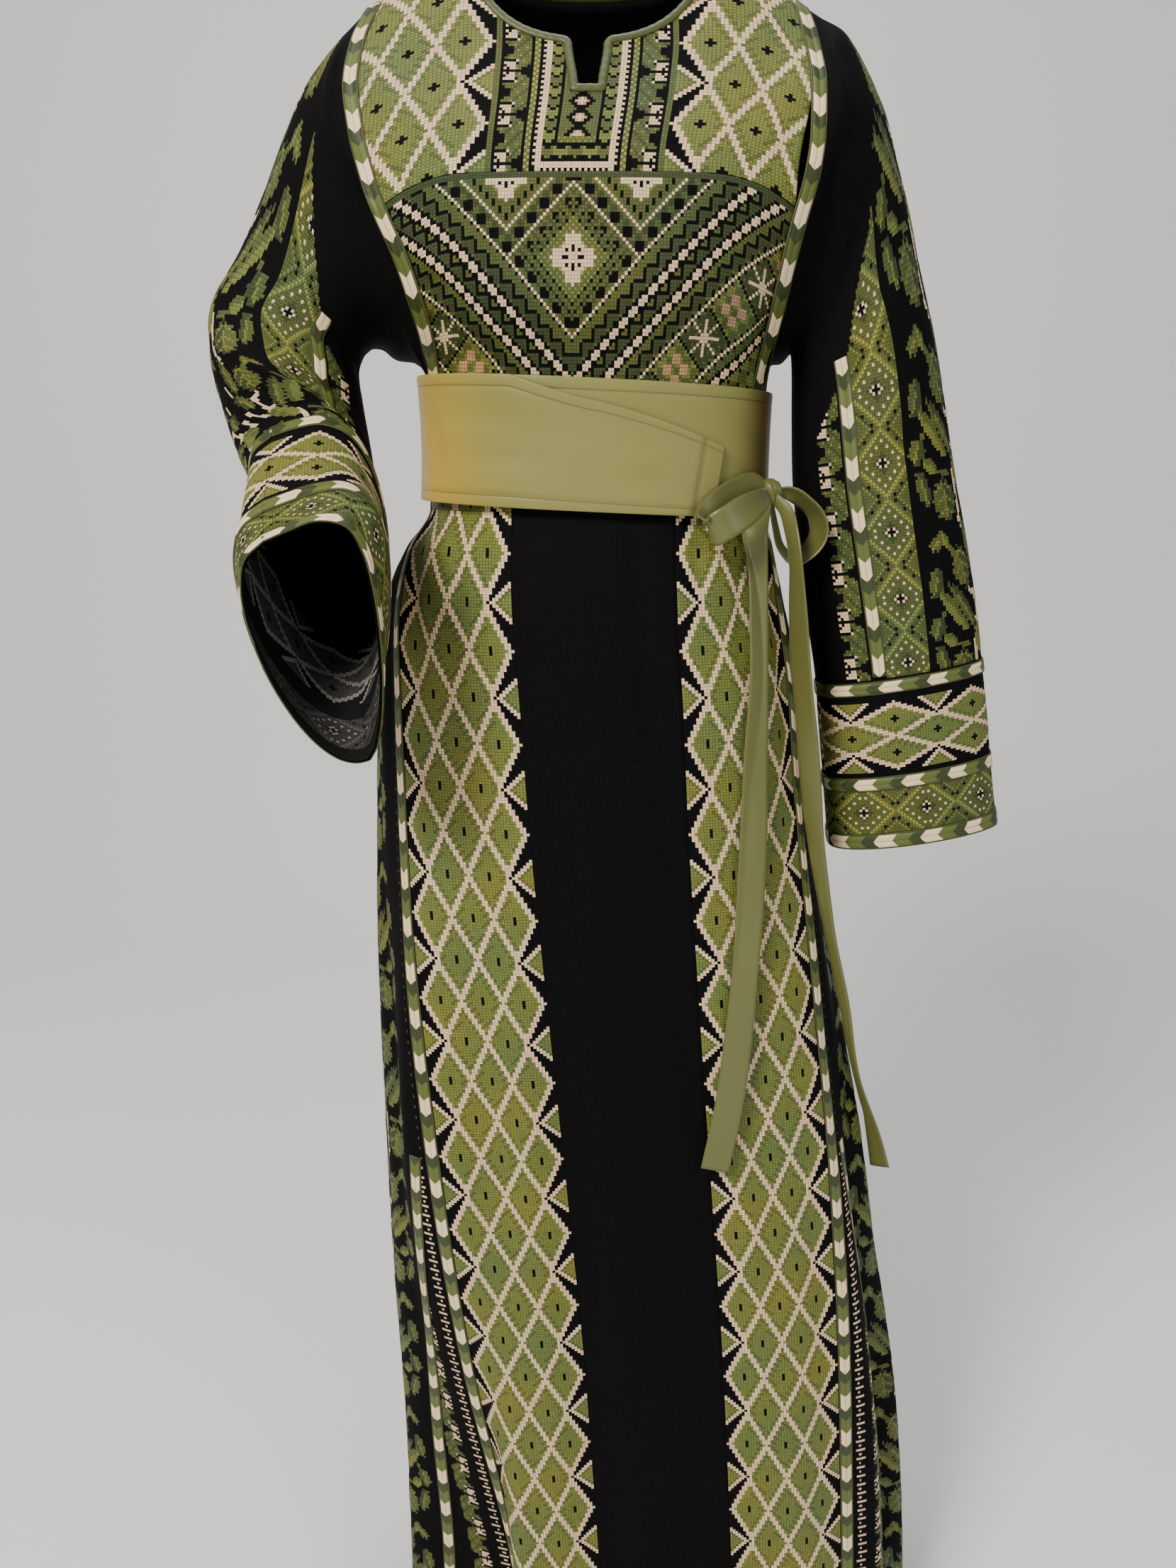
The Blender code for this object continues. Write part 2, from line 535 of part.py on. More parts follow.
def binding_rows(points, normals):
    """A strip from the cloth's edge into the opening, mitred at the corners."""
    rows = []
    last = len(points) - 1
    for k, (point, normal) in enumerate(zip(points, normals)):
        if k in (0, last):
            into = np.array([math.copysign(1.0, -point[0]), 0.0, 0.0])
        else:
            before = unit(np.cross(unit(point - points[k - 1]), normal))
            after = unit(np.cross(unit(points[k + 1] - point), normal))
            middle = unit(before + after)
            into = middle / max(np.dot(middle, after), 0.75)
            into *= math.copysign(1.0, normal[1])
        rows.append([point, point + into * BINDING_WIDTH])
    return rows


def make_neck():
    half = SEAM / 2
    for name, grid, normals, slit in (("neck_binding_front", FRONT_GRID, FRONT_NORMALS, True),
                                      ("neck_binding_back", BACK_GRID, BACK_NORMALS, False)):
        points, path_normals = neck_path(grid, normals, slit)
        rows = binding_rows(points, path_normals)
        pair = [[normal, normal] for normal in path_normals]
        wall(name, rows, pair, BINDING, OLIVE, lift=(BINDING - CLOTH) / 2, gaps=(half, half, NECK_GAP, 0))


# ---------------------------------------------------------------- sleeves and cuffs
HALF_STEPS = 48
WAIST_STEPS = 3           # columns of a sleeve half that run round the waist under the arm
SETTLED_RING = 4
BRAID_START = 6           # row of the sleeve where its long braid comes out of the shoulder fold


def ring_half(row, along_arm, handed, front):
    """Dense points of one half of a sleeve ring, from its outer line to its inner line."""
    outer, inner = np.array(row[0:3]), np.array(row[3:6])
    tall = (outer - inner) / 2
    forward = unit(np.cross(tall, along_arm)) * handed
    bulge, lean, edge = (row[6], row[8], row[9]) if front else (-row[7], 1.0, 0.85)
    points = []
    for angle in np.linspace(0.0, math.pi, HALF_STEPS + 1):
        share = ((1 - math.cos(angle)) / 2) ** lean
        points.append(outer - 2 * share * tall + max(math.sin(angle), 0.0) ** edge * bulge * forward)
    return np.array(points)


def sleeve_columns(points, edge_shares, settled):
    """Points of a half ring: spaced as the armhole's edge is, easing to the bands of the sleeve."""
    total = np.linalg.norm(np.diff(points, axis=0), axis=1).sum()
    scale = min(1.0, 0.80 * total / SLEEVE_BANDS[-1])
    bands = [distance * scale for distance in SLEEVE_BANDS]
    rest = len(edge_shares) - len(bands)
    bands += [bands[-1] + (total - bands[-1]) * k / rest for k in range(1, rest + 1)]
    return along(points, (1 - settled) * edge_shares * total + settled * np.array(bands))


def edge_shares(edge):
    lengths = np.concatenate([[0.0], np.cumsum(np.linalg.norm(np.diff(edge, axis=0), axis=1))])
    return lengths / lengths[-1]


def arm_directions(rows):
    centres = np.array([[(row[k] + row[k + 3]) / 2 for k in range(3)] for row in rows])
    return [unit(step) for step in np.gradient(centres, axis=0)]


def waist_arc(side_sign, front, z, start_x):
    """Points and normals round the waist at a height, from the foot of the armhole to the side."""
    half = RIGHT(z) if side_sign < 0 else LEFT(z)
    depth = (-FRONT(z)) if front else BACK(z)
    power = SQUARE(z)
    start = math.asin(min((abs(start_x - CENTRE(z)) / half) ** (power / 2), 1.0))
    points, normals = [], []
    for angle in np.linspace(start, math.pi / 2, WAIST_STEPS + 1):
        sine, cosine = math.sin(angle), max(math.cos(angle), 0.0)
        points.append(np.array([CENTRE(z) + side_sign * half * sine ** (2 / power),
                                depth * cosine ** (2 / power), z]))
        normals.append(unit(np.array([side_sign * sine / half, cosine / depth, 0.0])))
    return points, normals


def armhole_edge(side_sign, front):
    """The bodice's edge from the shoulder to the waist and on round the waist to the side."""
    grid, normals = (FRONT_GRID, FRONT_NORMALS) if front else (BACK_GRID, BACK_NORMALS)
    column = 0 if side_sign < 0 else -1
    arc, arc_normals = waist_arc(side_sign, front, WAIST_SEAM, grid[-1, column, 0])
    return (np.concatenate([grid[:, column], arc[1:]]),
            np.concatenate([normals[:, column], arc_normals[1:]]))


BELT_CLEAR = -0.296
ARMHOLE_EASE = 0.35
FOOT_STEP = 0.0030        # the sleeve's foot lies this far outside the bodice's edge
CLEAR_STEPS = (0.013, 0.019, 0.025, 0.030)


def above_belt(edge, ring, side_sign, front):
    """The row that eases from the armhole into the arm, and carries the cloth up over the belt."""
    row = edge + ARMHOLE_EASE * (ring - edge)
    foot = ARMHOLE_RIGHT(BELT_CLEAR) if side_sign < 0 else ARMHOLE_LEFT(BELT_CLEAR)
    arc, _ = waist_arc(side_sign, front, BELT_CLEAR, side_sign * (foot + FOOT_STEP))
    row[-len(arc):] = np.array(arc) + np.array([side_sign * SEAM, 0.0, 0.0])
    return row


def clear_of_armhole(ring, edge, side_sign, step):
    """A ring whose points stay further out than the armhole's, so that the sleeve never folds back."""
    ring = ring.copy()
    corner = len(edge) - 1 - WAIST_STEPS
    for j in range(corner):
        reach = side_sign * edge[j, 0] + step * math.sin(math.pi * (j + 0.6) / (corner + 0.6))
        ring[j, 0] = side_sign * max(side_sign * ring[j, 0], reach)
    return ring


def finer_rows(rows, directions, shares):
    """Rings and arm directions at shares of the way down a short list of rings."""
    table = np.hstack([np.array(rows), np.array(directions)])
    keys = np.linspace(0.0, 1.0, len(rows))
    finer = np.array([[np.interp(share, keys, column) for column in table.T] for share in shares])
    width = len(rows[0])
    return finer[:, :width], [unit(direction) for direction in finer[:, width:]]


def sleeve_tube(rows, directions, side_sign):
    """A whole sleeve from the armhole down, as grids of points and normals of its two halves."""
    handed = 1 if side_sign < 0 else -1
    halves = {}
    for front in (True, False):
        edge, _ = armhole_edge(side_sign, front)
        shares = edge_shares(edge)
        rings = [sleeve_columns(ring_half(row, direction, handed, front), shares, ease(k, 0, SETTLED_RING))
                 for k, (row, direction) in enumerate(zip(rows, directions))]
        for k, step in enumerate(CLEAR_STEPS):
            rings[k] = clear_of_armhole(rings[k], edge, side_sign, step)
        halves[front] = np.array([edge, above_belt(edge, rings[0], side_sign, front)] + rings)
    loop = np.concatenate([halves[True], halves[False][:, -2:0:-1]], axis=1)
    wide = np.concatenate([loop[:, -1:], loop, loop[:, :1]], axis=1)
    across = (wide[:, 2:] - wide[:, :-2]) / 2
    down = np.gradient(loop, axis=0)
    normals = np.cross(down, across)
    normals /= np.maximum(np.linalg.norm(normals, axis=2, keepdims=True), 1e-12)
    centres = loop.mean(axis=1, keepdims=True)
    middle = normals.shape[0] // 2
    if np.sum(normals[middle] * (loop[middle] - centres[middle])) < 0:
        normals = -normals
    last = halves[True].shape[1] - 1
    back_index = [0] + list(range(loop.shape[1] - 1, last - 1, -1))
    result = {True: (halves[True], normals[:, :last + 1]), False: (halves[False], normals[:, back_index])}
    for front in (True, False):
        _, edge_normals = armhole_edge(side_sign, front)
        result[front][1][0] = edge_normals
    return result


def make_sleeve(suffix, rows, cuff_rows):
    sign = SIDES[suffix]
    half = SEAM / 2
    directions = arm_directions(rows + cuff_rows[1:])
    cuff, cuff_directions = finer_rows(cuff_rows, directions[len(rows) - 1:], CUFF_SHARES)
    whole = sleeve_tube(rows + [list(row) for row in cuff[1:]],
                        directions[:len(rows)] + cuff_directions[1:], sign)
    seam_row = len(rows) + 1
    names = {True: "front", False: "back"}
    for front, (points, normals) in whole.items():
        wall("sleeve_%s_%s" % (suffix, names[front]), points[:seam_row + 1], normals[:seam_row + 1],
             CLOTH, BLACK, gaps=(half, CUFF_GAP, half, half))
        wall("cuff_%s_%s" % (suffix, names[front]), points[seam_row:], normals[seam_row:],
             CLOTH, OLIVE, gaps=(CUFF_GAP, half, half, half))
        for number, step in enumerate((0, 3, 5), 1):
            first = seam_row + step
            wall("cuff_braid_%s%d_%s" % (suffix, number, names[front]), points[first:first + 2],
                 normals[first:first + 2], BRAID, BRAID_GREEN, lift=SEAM + BRAID,
                 gaps=(BEND_GAP if step == 0 else half, half, half, half))
    points, normals = whole[True]
    wall("sleeve_braid_" + suffix, points[BRAID_START:seam_row + 1, 6:8],
         normals[BRAID_START:seam_row + 1, 6:8], BRAID, BRAID_GREEN, lift=SEAM + BRAID,
         gaps=(half, BEND_GAP, half, half))


# ---------------------------------------------------------------- skirt
SKIRT_HEIGHTS = (WAIST_SEAM, -0.360, -0.400, -0.435, -0.475, -0.530, -0.595, -0.660, -0.725, -0.790,
                 -0.855, -0.920, -0.985, -1.050, -1.115, -1.180, -1.245, -1.310, -1.375, -1.440, HEM)
FRONT_COLUMNS = (FRONT_HALF, FRONT_HALF - BRAID_WIDTH, 0.140, 0.120, 0.100, 0.080, BLACK_HALF,
                 0.040, 0.020, 0.0)
GORE_BRAID_TOP = -0.920


def gore_reach(z):
    """Distance from the front centre to the seam between a side gore and the back, each side."""
    _, distances = skirt_ring(z)
    return (FRONT_HALF + 0.42 * (-distances[0] - FRONT_HALF),
            FRONT_HALF + 0.42 * (distances[-1] - FRONT_HALF))


def second_braid(z):
    """Distance of the gore's braid from the front panel: it comes out of the pleat lower down."""
    return 0.0045 + 0.122 * max(GORE_BRAID_TOP - z, 0.0)


def gore_columns(z, reach):
    start = second_braid(z)
    width = reach - FRONT_HALF
    columns = [0.0, start, start + BRAID_WIDTH]
    left_over = width - columns[-1]
    return [FRONT_HALF + c for c in columns] + [
        FRONT_HALF + columns[-1] + left_over * share for share in (0.16, 0.33, 0.5, 0.67, 0.84, 1.0)]


def skirt_grid(columns_at):
    """Points and normals of a panel whose column distances are a function of height."""
    points = [[skirt_point(d, z) for d in columns_at(z)] for z in SKIRT_HEIGHTS]
    normals = [[skirt_normal(d, z) for d in columns_at(z)] for z in SKIRT_HEIGHTS]
    normals = np.array(normals)
    for row in (0, -1):
        normals[row, :, 2] = 0.0
        normals[row] /= np.linalg.norm(normals[row], axis=1, keepdims=True)
    return np.array(points), normals


def make_skirt():
    half = SEAM / 2
    gaps = (half, 0.0, half, half)
    distances = [-d for d in FRONT_COLUMNS] + list(FRONT_COLUMNS[-2::-1])
    points, normals = skirt_grid(lambda z: distances)
    wall("skirt_front", points, normals, CLOTH, BLACK, gaps=gaps)
    for suffix, sign in SIDES.items():
        columns = slice(0, 2) if sign < 0 else slice(-2, None)
        wall("skirt_braid_" + suffix, points[1:, columns], normals[1:, columns], BRAID, BRAID_GREEN,
             lift=SEAM + BRAID, gaps=gaps)
        reach = 0 if sign < 0 else 1
        gore, gore_normals = skirt_grid(
            lambda z, side=reach, turn=sign: [turn * d for d in gore_columns(z, gore_reach(z)[side])])
        wall("skirt_side_" + suffix, gore, gore_normals, CLOTH, BLACK, gaps=gaps)
        first = SKIRT_HEIGHTS.index(GORE_BRAID_TOP)
        wall("side_braid_" + suffix, gore[first:, 1:3], gore_normals[first:, 1:3], BRAID, BRAID_GREEN,
             lift=SEAM + BRAID, gaps=gaps)
    back, back_normals = skirt_grid(back_columns)
    middle = BACK_CELLS // 2
    for suffix, columns in (("l", slice(0, middle + 1)), ("r", slice(middle, None))):
        wall("skirt_back_" + suffix, back[:, columns], back_normals[:, columns], CLOTH, BLACK, gaps=gaps)


BACK_CELLS = 16           # of the back's two halves together, which meet at the back centre


def back_columns(z):
    """Distances of the back's columns, which run on past the back centre."""
    _, distances = skirt_ring(z)
    right, left = gore_reach(z)
    length = distances[-1] - distances[0]
    start, end = left, length - right
    return [start + (end - start) * k / BACK_CELLS for k in range(BACK_CELLS + 1)]


# ---------------------------------------------------------------- belt and tie
def belt_row(angles, height_share, extra):
    """Points of a belt layer round the waist at given angles from the front centre."""
    row = []
    for degrees in angles:
        sine, cosine = math.sin(math.radians(degrees)), math.cos(math.radians(degrees))
        z = BELT_TOP + (BELT_BOTTOM - BELT_TOP) * height_share
        half = RIGHT(z) if sine < 0 else LEFT(z)
        depth = FRONT(z) if cosine > 0 else BACK(z)
        power = SQUARE(z)
        x = CENTRE(z) + (half + extra) * math.copysign(abs(sine) ** (2 / power), sine)
        y = -(depth + extra) * math.copysign(abs(cosine) ** (2 / power), cosine)
        row.append(np.array([x, y, z + BELT_TILT * x]))
    return row


def belt_layer(name, angles, extra, top_share=None, slant=0.0):
    """One layer of the belt: top_share gives the top edge at an angle, slant leans its last end."""
    rows = []
    for share in (0.0, 0.33, 0.67, 1.0):
        row = []
        for degrees in angles:
            top = top_share(degrees) if top_share else 0.0
            lean = slant * share * (degrees - angles[0]) / (angles[-1] - angles[0])
            row += belt_row([degrees - lean], top + (1 - top) * share, extra)
        rows.append(row)
    grid = np.array(rows)
    centre = np.array([CENTRE(BELT_TOP), 0.0, 0.0])
    normals = grid_normals(grid, lambda p: (p - centre) * np.array([1.0, 1.0, 0.0]))
    return wall(name, grid, normals, BELT, SATIN, gaps=(0, 0, SEAM / 2, SEAM / 2))


OVER_START, OVER_TIP = -86.0, 38.5    # degrees round the waist from the front centre
OVER_SLOPE_START = -21.0
OVER_FALL = 0.46          # share of the belt's height that the top edge has dropped at the tip
OVER_SLANT = 4.5
OVER_AIR = 0.0012         # air between the two layers of the belt


def over_top(degrees):
    """The over layer's top edge slopes down to its point on the wearer's left."""
    return OVER_FALL * max(degrees - OVER_SLOPE_START, 0.0) / (OVER_TIP - OVER_SLOPE_START)


def make_belt():
    front = list(np.linspace(-90.0, 90.0, 29))
    back = list(np.linspace(90.0, 270.0, 21))
    belt_layer("belt_under", front, BELT_STANDOFF + BELT)
    belt_layer("belt_back", back, BELT_STANDOFF + BELT)
    over = list(np.linspace(OVER_START, OVER_TIP, 25))
    belt_layer("belt_over", over, BELT_STANDOFF + 2 * BELT + OVER_AIR, over_top, OVER_SLANT)


def knot_centre():
    """The knot rests on the under layer of the belt."""
    before, point, after = belt_row([KNOT_ANGLE - 1, KNOT_ANGLE, KNOT_ANGLE + 1], KNOT_SHARE,
                                    BELT_STANDOFF + BELT)
    round_belt = after - before
    return point + unit(np.array([round_belt[1], -round_belt[0], 0.0])) * (KNOT_RADII[0] + SEAM)


def knot_edge(toward):
    """Where a ribbon that leads towards a point comes out of the knot."""
    centre = knot_centre()
    way = unit(toward - centre)
    return centre + way * (1 / np.linalg.norm(way / np.array(KNOT_RADII)) + SEAM)


def clear_of_body(point):
    """A ribbon's point, moved out from the middle of the body until it stands clear of it."""
    z = point[2]
    points, _ = skirt_ring(min(z, WAIST_SEAM))
    offsets = points - np.array([CENTRE(z), 0.0])
    here = point[:2] - np.array([CENTRE(z), 0.0])
    headings = np.arctan2(offsets[:, 0], -offsets[:, 1])
    surface = np.interp(math.atan2(here[0], -here[1]), headings, np.hypot(offsets[:, 0], offsets[:, 1]))
    on_belt = z > BELT_BOTTOM + BELT_TILT * point[0] - RIBBON_CLEAR
    layers = BELT_STANDOFF + 2 * BELT + OVER_AIR if on_belt else BRAID
    reach = max(math.hypot(*here), surface + layers + SEAM + RIBBON_CLEAR)
    moved = unit(here) * reach
    return np.array([CENTRE(z) + moved[0], moved[1], z])


def ribbon(name, table, back_to_knot=False):
    """A flat ribbon from the knot along a centre line, and back to the knot for a loop."""
    rows = [list(row) for row in table]
    rows.insert(0, [*knot_edge(np.array(rows[0][:3])), rows[0][3], rows[0][4], KNOT_END])
    if back_to_knot:
        rows.append([*knot_edge(np.array(rows[-1][:3])), rows[-1][3], rows[-1][4], KNOT_END])
    rows = np.array(rows)
    steps = np.gradient(rows[:, :3], axis=0)
    grid = []
    for (x, y, z, turn, rise, half), step in zip(rows, steps):
        turn, rise = math.radians(turn), math.radians(rise)
        wide = np.array([math.cos(rise) * math.cos(turn), math.cos(rise) * math.sin(turn), math.sin(rise)])
        wide = unit(wide - unit(step) * np.dot(wide, unit(step)))
        row = [np.array([x, y, z]) + wide * half * share for share in (-1.0, 0.0, 1.0)]
        grid.append(row if not grid or back_to_knot else [clear_of_body(point) for point in row])
    grid = np.array(grid)
    normals = np.cross(np.gradient(grid, axis=1), np.gradient(grid, axis=0))
    normals /= np.linalg.norm(normals, axis=2, keepdims=True)
    return wall(name, grid, normals, RIBBON, SATIN)


def make_tie():
    ribbon("tie_tail_inner", TAIL_INNER)
    ribbon("tie_tail_outer", TAIL_OUTER)
    ribbon("tie_loop_inner", LOOP_INNER, back_to_knot=True)
    ribbon("tie_loop_outer", LOOP_OUTER, back_to_knot=True)
    model = bmesh.new()
    bmesh.ops.create_uvsphere(model, u_segments=16, v_segments=10, radius=1.0)
    centre = knot_centre()
    for vertex in model.verts:
        vertex.co = [centre[k] + vertex.co[k] * KNOT_RADII[k] for k in range(3)]
    finish("tie_knot", model, SATIN)


# ---------------------------------------------------------------- build
for thing in list(bpy.data.objects):
    bpy.data.objects.remove(thing)
make_bodice()
make_neck()
make_sleeve("r", SLEEVE_R, CUFF_R)
make_sleeve("l", SLEEVE_L, CUFF_L)
make_skirt()
make_belt()
make_tie()
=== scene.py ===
"""The thobe as it looks: stitched cloth, satin braids, belt and tie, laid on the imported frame.

Each panel is a thin closed cloth whose outer face is cut into one cell for each cross-stitch, so that
the counted patterns are drawn stitch by stitch. Metres, in the frame of the part: X to the wearer's
left, -Y to the front, +Z up, with the origin at the base of the neck.
"""

import math

import bpy
import numpy as np
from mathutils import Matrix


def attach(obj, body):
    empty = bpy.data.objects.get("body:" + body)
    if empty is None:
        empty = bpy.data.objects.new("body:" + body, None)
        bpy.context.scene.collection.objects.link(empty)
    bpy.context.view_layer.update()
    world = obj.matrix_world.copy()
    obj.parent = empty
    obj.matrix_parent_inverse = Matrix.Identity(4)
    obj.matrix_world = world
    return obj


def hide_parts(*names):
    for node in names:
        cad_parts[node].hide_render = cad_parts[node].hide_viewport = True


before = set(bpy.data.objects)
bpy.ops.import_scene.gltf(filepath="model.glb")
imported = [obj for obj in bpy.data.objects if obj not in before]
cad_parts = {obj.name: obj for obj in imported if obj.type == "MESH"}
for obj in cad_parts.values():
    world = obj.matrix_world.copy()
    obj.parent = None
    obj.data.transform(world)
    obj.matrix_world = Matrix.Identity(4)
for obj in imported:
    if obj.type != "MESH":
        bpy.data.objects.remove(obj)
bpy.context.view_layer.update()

# ---------------------------------------------------------------- sizes shared with the part
CLOTH = 0.0016            # the cloth's wall
STITCH_RELIEF = 0.00035   # how far a stitched cell stands over the bare cloth
SEWN_LIFT = 0.0003        # how far a braid's lines stand over the cloth that carries it
BRAID_WIDTH = 0.012
NECK_HALF, NECK_DROP, NECK_DROP_BACK, NECK_SQUARE = 0.086, 0.0890, 0.026, 2.4
BINDING_RADII = (0.0031, 0.0017)
SHOULDER_TIP, SHOULDER_FALL = 0.155, 0.045
SHOULDER_DEEP, SHOULDER_ROUND = 0.07, 2.2   # how far down and how roundly the shoulder turns over
SLIT_BOTTOM, SLIT_HALF_TOP, SLIT_HALF_BOTTOM = -0.1245, 0.0155, 0.0112
YOKE_SEAM, YOKE_SEAM_FLAT, YOKE_SEAM_BEND = -0.180, 0.080, 5.0
WAIST_SEAM, HEM = -0.325, -1.510
BELT_TOP, BELT_BOTTOM, BELT_TILT = -0.3075, -0.3985, -0.045
BELT, BELT_STANDOFF = 0.0020, 0.0032
FRONT_HALF, BLACK_HALF = 0.176, 0.060
GORE_SHARE = 0.42         # the gore's part of the way from the front panel to the back's centre
SKIRT_BRAID_TOP, GORE_BRAID_TOP, GORE_BRAID_START, GORE_BRAID_SPREAD = -0.362, -0.920, 0.0045, 0.122

BODY = [
    # z,     centre, right, left,  front, back,  square
    (0.000, 0.000, 0.250, 0.250, 0.040, 0.045, 2.4),
    (-0.030, 0.000, 0.250, 0.250, 0.048, 0.060, 2.4),
    (-0.060, 0.000, 0.250, 0.250, 0.060, 0.078, 2.4),
    (-0.085, 0.000, 0.247, 0.247, 0.072, 0.090, 2.4),
    (-0.120, 0.000, 0.242, 0.242, 0.095, 0.098, 2.4),
    (-0.160, 0.000, 0.230, 0.230, 0.119, 0.100, 2.4),
    (-0.200, 0.000, 0.205, 0.205, 0.133, 0.096, 2.4),
    (-0.250, 0.001, 0.166, 0.166, 0.130, 0.088, 2.4),
    (-0.305, 0.003, 0.1280, 0.1360, 0.112, 0.084, 2.4),
    (-0.350, 0.004, 0.1270, 0.1340, 0.107, 0.084, 2.4),
    (-0.400, 0.004, 0.1290, 0.1350, 0.108, 0.090, 2.4),
    (-0.430, 0.004, 0.1500, 0.1440, 0.118, 0.104, 2.45),
    (-0.470, 0.005, 0.1680, 0.1530, 0.126, 0.118, 2.5),
    (-0.540, 0.010, 0.1820, 0.1640, 0.130, 0.130, 2.6),
    (-0.630, 0.0155, 0.1940, 0.1700, 0.133, 0.138, 2.6),
    (-0.760, 0.026, 0.2120, 0.1850, 0.137, 0.146, 2.7),
    (-0.960, 0.0435, 0.2330, 0.2105, 0.141, 0.156, 2.8),
    (-1.100, 0.0555, 0.2440, 0.2250, 0.145, 0.162, 2.8),
    (-1.230, 0.0640, 0.2480, 0.2370, 0.148, 0.166, 2.8),
    (-1.350, 0.0710, 0.2530, 0.2430, 0.152, 0.170, 2.8),
    (-1.510, 0.0780, 0.2620, 0.2470, 0.158, 0.176, 2.8),
]
FOLDS = [
    # angle,  depth,  inner, outer, start, full
    (-40.0, 0.064, 19.0, 36.0, -0.90, -1.46),
    (-42.0, -0.014, 22.0, 18.0, -0.48, -0.90),
    (-9.0, 0.007, 7.0, 7.0, -0.40, -0.95),
    (10.0, 0.006, 6.0, 8.0, -0.40, -1.10),
    (45.0, -0.008, 12.0, 9.0, -0.70, -1.20),
    (60.0, 0.022, 9.0, 14.0, -0.75, -1.25),
    (84.0, 0.012, 12.0, 12.0, -0.55, -1.30),
    (-82.0, 0.010, 10.0, 12.0, -0.60, -1.30),
    (112.0, 0.018, 13.0, 13.0, -0.42, -1.20),
    (-110.0, 0.017, 12.0, 14.0, -0.42, -1.25),
    (140.0, 0.020, 12.0, 12.0, -0.42, -1.10),
    (-141.0, 0.021, 13.0, 11.0, -0.42, -1.15),
    (166.0, 0.016, 11.0, 11.0, -0.45, -1.30),
    (-167.0, 0.018, 12.0, 12.0, -0.42, -1.05),
]
ARMHOLE = [
    # z,     right,  left
    (0.000, 0.155, 0.155), (-0.045, 0.155, 0.155), (-0.060, 0.160, 0.158), (-0.080, 0.166, 0.161),
    (-0.110, 0.169, 0.164), (-0.150, 0.163, 0.162), (-0.175, 0.156, 0.158), (-0.190, 0.151, 0.154),
    (-0.205, 0.145, 0.150), (-0.225, 0.136, 0.146), (-0.250, 0.128, 0.142), (-0.280, 0.1215, 0.138),
    (-0.325, 0.119, 0.130),
]
# Sleeve rings: the outer line over the arm, the inner line under it, and the fullness. Each cuff goes
# on from the last ring of its sleeve.
SLEEVE_R = [
    # outer x, y, z         inner x, y, z           front  back  lean edge
    (-0.186, -0.004, -0.075, -0.1500, -0.002, -0.287, 0.086, 0.076, 1.0, 0.8),
    (-0.205, -0.008, -0.097, -0.1570, -0.004, -0.281, 0.078, 0.070, 1.0, 0.8),
    (-0.224, -0.012, -0.133, -0.1640, -0.008, -0.279, 0.069, 0.064, 1.0, 0.85),
    (-0.242, -0.016, -0.174, -0.1690, -0.012, -0.281, 0.061, 0.057, 1.0, 0.9),
    (-0.262, -0.020, -0.216, -0.1730, -0.018, -0.286, 0.054, 0.050, 1.0, 0.9),
    (-0.282, -0.027, -0.250, -0.1760, -0.022, -0.296, 0.052, 0.048, 1.0, 0.9),
    (-0.283, -0.044, -0.288, -0.1740, -0.026, -0.322, 0.054, 0.044, 1.2, 0.9),
    (-0.269, -0.066, -0.316, -0.1690, -0.034, -0.376, 0.060, 0.040, 1.7, 1.0),
    (-0.248, -0.090, -0.333, -0.1680, -0.050, -0.437, 0.058, 0.037, 2.4, 1.0),
    (-0.222, -0.114, -0.340, -0.1740, -0.078, -0.494, 0.056, 0.035, 1.9, 1.1),
]
CUFF_R = SLEEVE_R[-1:] + [
    (-0.216, -0.160, -0.370, -0.1660, -0.130, -0.518, 0.060, 0.039, 2.0, 1.3),
    (-0.209, -0.205, -0.397, -0.1560, -0.172, -0.539, 0.068, 0.043, 2.5, 1.6),
    (-0.206, -0.218, -0.413, -0.1470, -0.212, -0.557, 0.055, 0.037, 2.6, 1.4),
]
SLEEVE_L = [
    (0.190, -0.004, -0.068, 0.1500, -0.002, -0.290, 0.086, 0.076, 1.0, 0.8),
    (0.214, -0.008, -0.106, 0.1540, -0.006, -0.284, 0.077, 0.069, 1.0, 0.8),
    (0.231, -0.012, -0.155, 0.1560, -0.012, -0.283, 0.065, 0.062, 1.0, 0.85),
    (0.245, -0.016, -0.205, 0.1570, -0.018, -0.290, 0.052, 0.052, 1.0, 0.9),
    (0.259, -0.018, -0.258, 0.1580, -0.024, -0.306, 0.049, 0.050, 1.0, 0.9),
    (0.272, -0.020, -0.312, 0.1590, -0.028, -0.334, 0.046, 0.050, 1.0, 0.9),
    (0.285, -0.020, -0.368, 0.1620, -0.032, -0.384, 0.043, 0.050, 1.0, 0.9),
    (0.300, -0.020, -0.424, 0.1700, -0.034, -0.438, 0.040, 0.050, 1.0, 0.9),
    (0.312, -0.020, -0.472, 0.1780, -0.036, -0.488, 0.038, 0.050, 1.0, 0.9),
    (0.321, -0.020, -0.516, 0.1870, -0.036, -0.536, 0.036, 0.050, 1.0, 0.9),
]
CUFF_L = SLEEVE_L[-1:] + [
    (0.330, -0.020, -0.563, 0.1930, -0.036, -0.583, 0.035, 0.051, 1.0, 0.9),
    (0.338, -0.020, -0.610, 0.1990, -0.036, -0.629, 0.034, 0.052, 1.0, 0.9),
    (0.347, -0.020, -0.658, 0.2050, -0.036, -0.676, 0.033, 0.053, 1.0, 0.9),
]
SLEEVE_BANDS = (0.0, 0.018, 0.037, 0.056, 0.075, 0.093, 0.110, 0.1215, 0.136, 0.150)
SLEEVE_BRAID, SLEEVE_BRAID_MIDDLE = (0.110, 0.1215), 0.1155
SEAM_GAP = 0.0012         # the cuff's first braid starts this far below the sleeve's last row
CUFF_SHARES = (0.0, 0.085, 0.32, 0.565, 0.65, 0.905, 1.0)

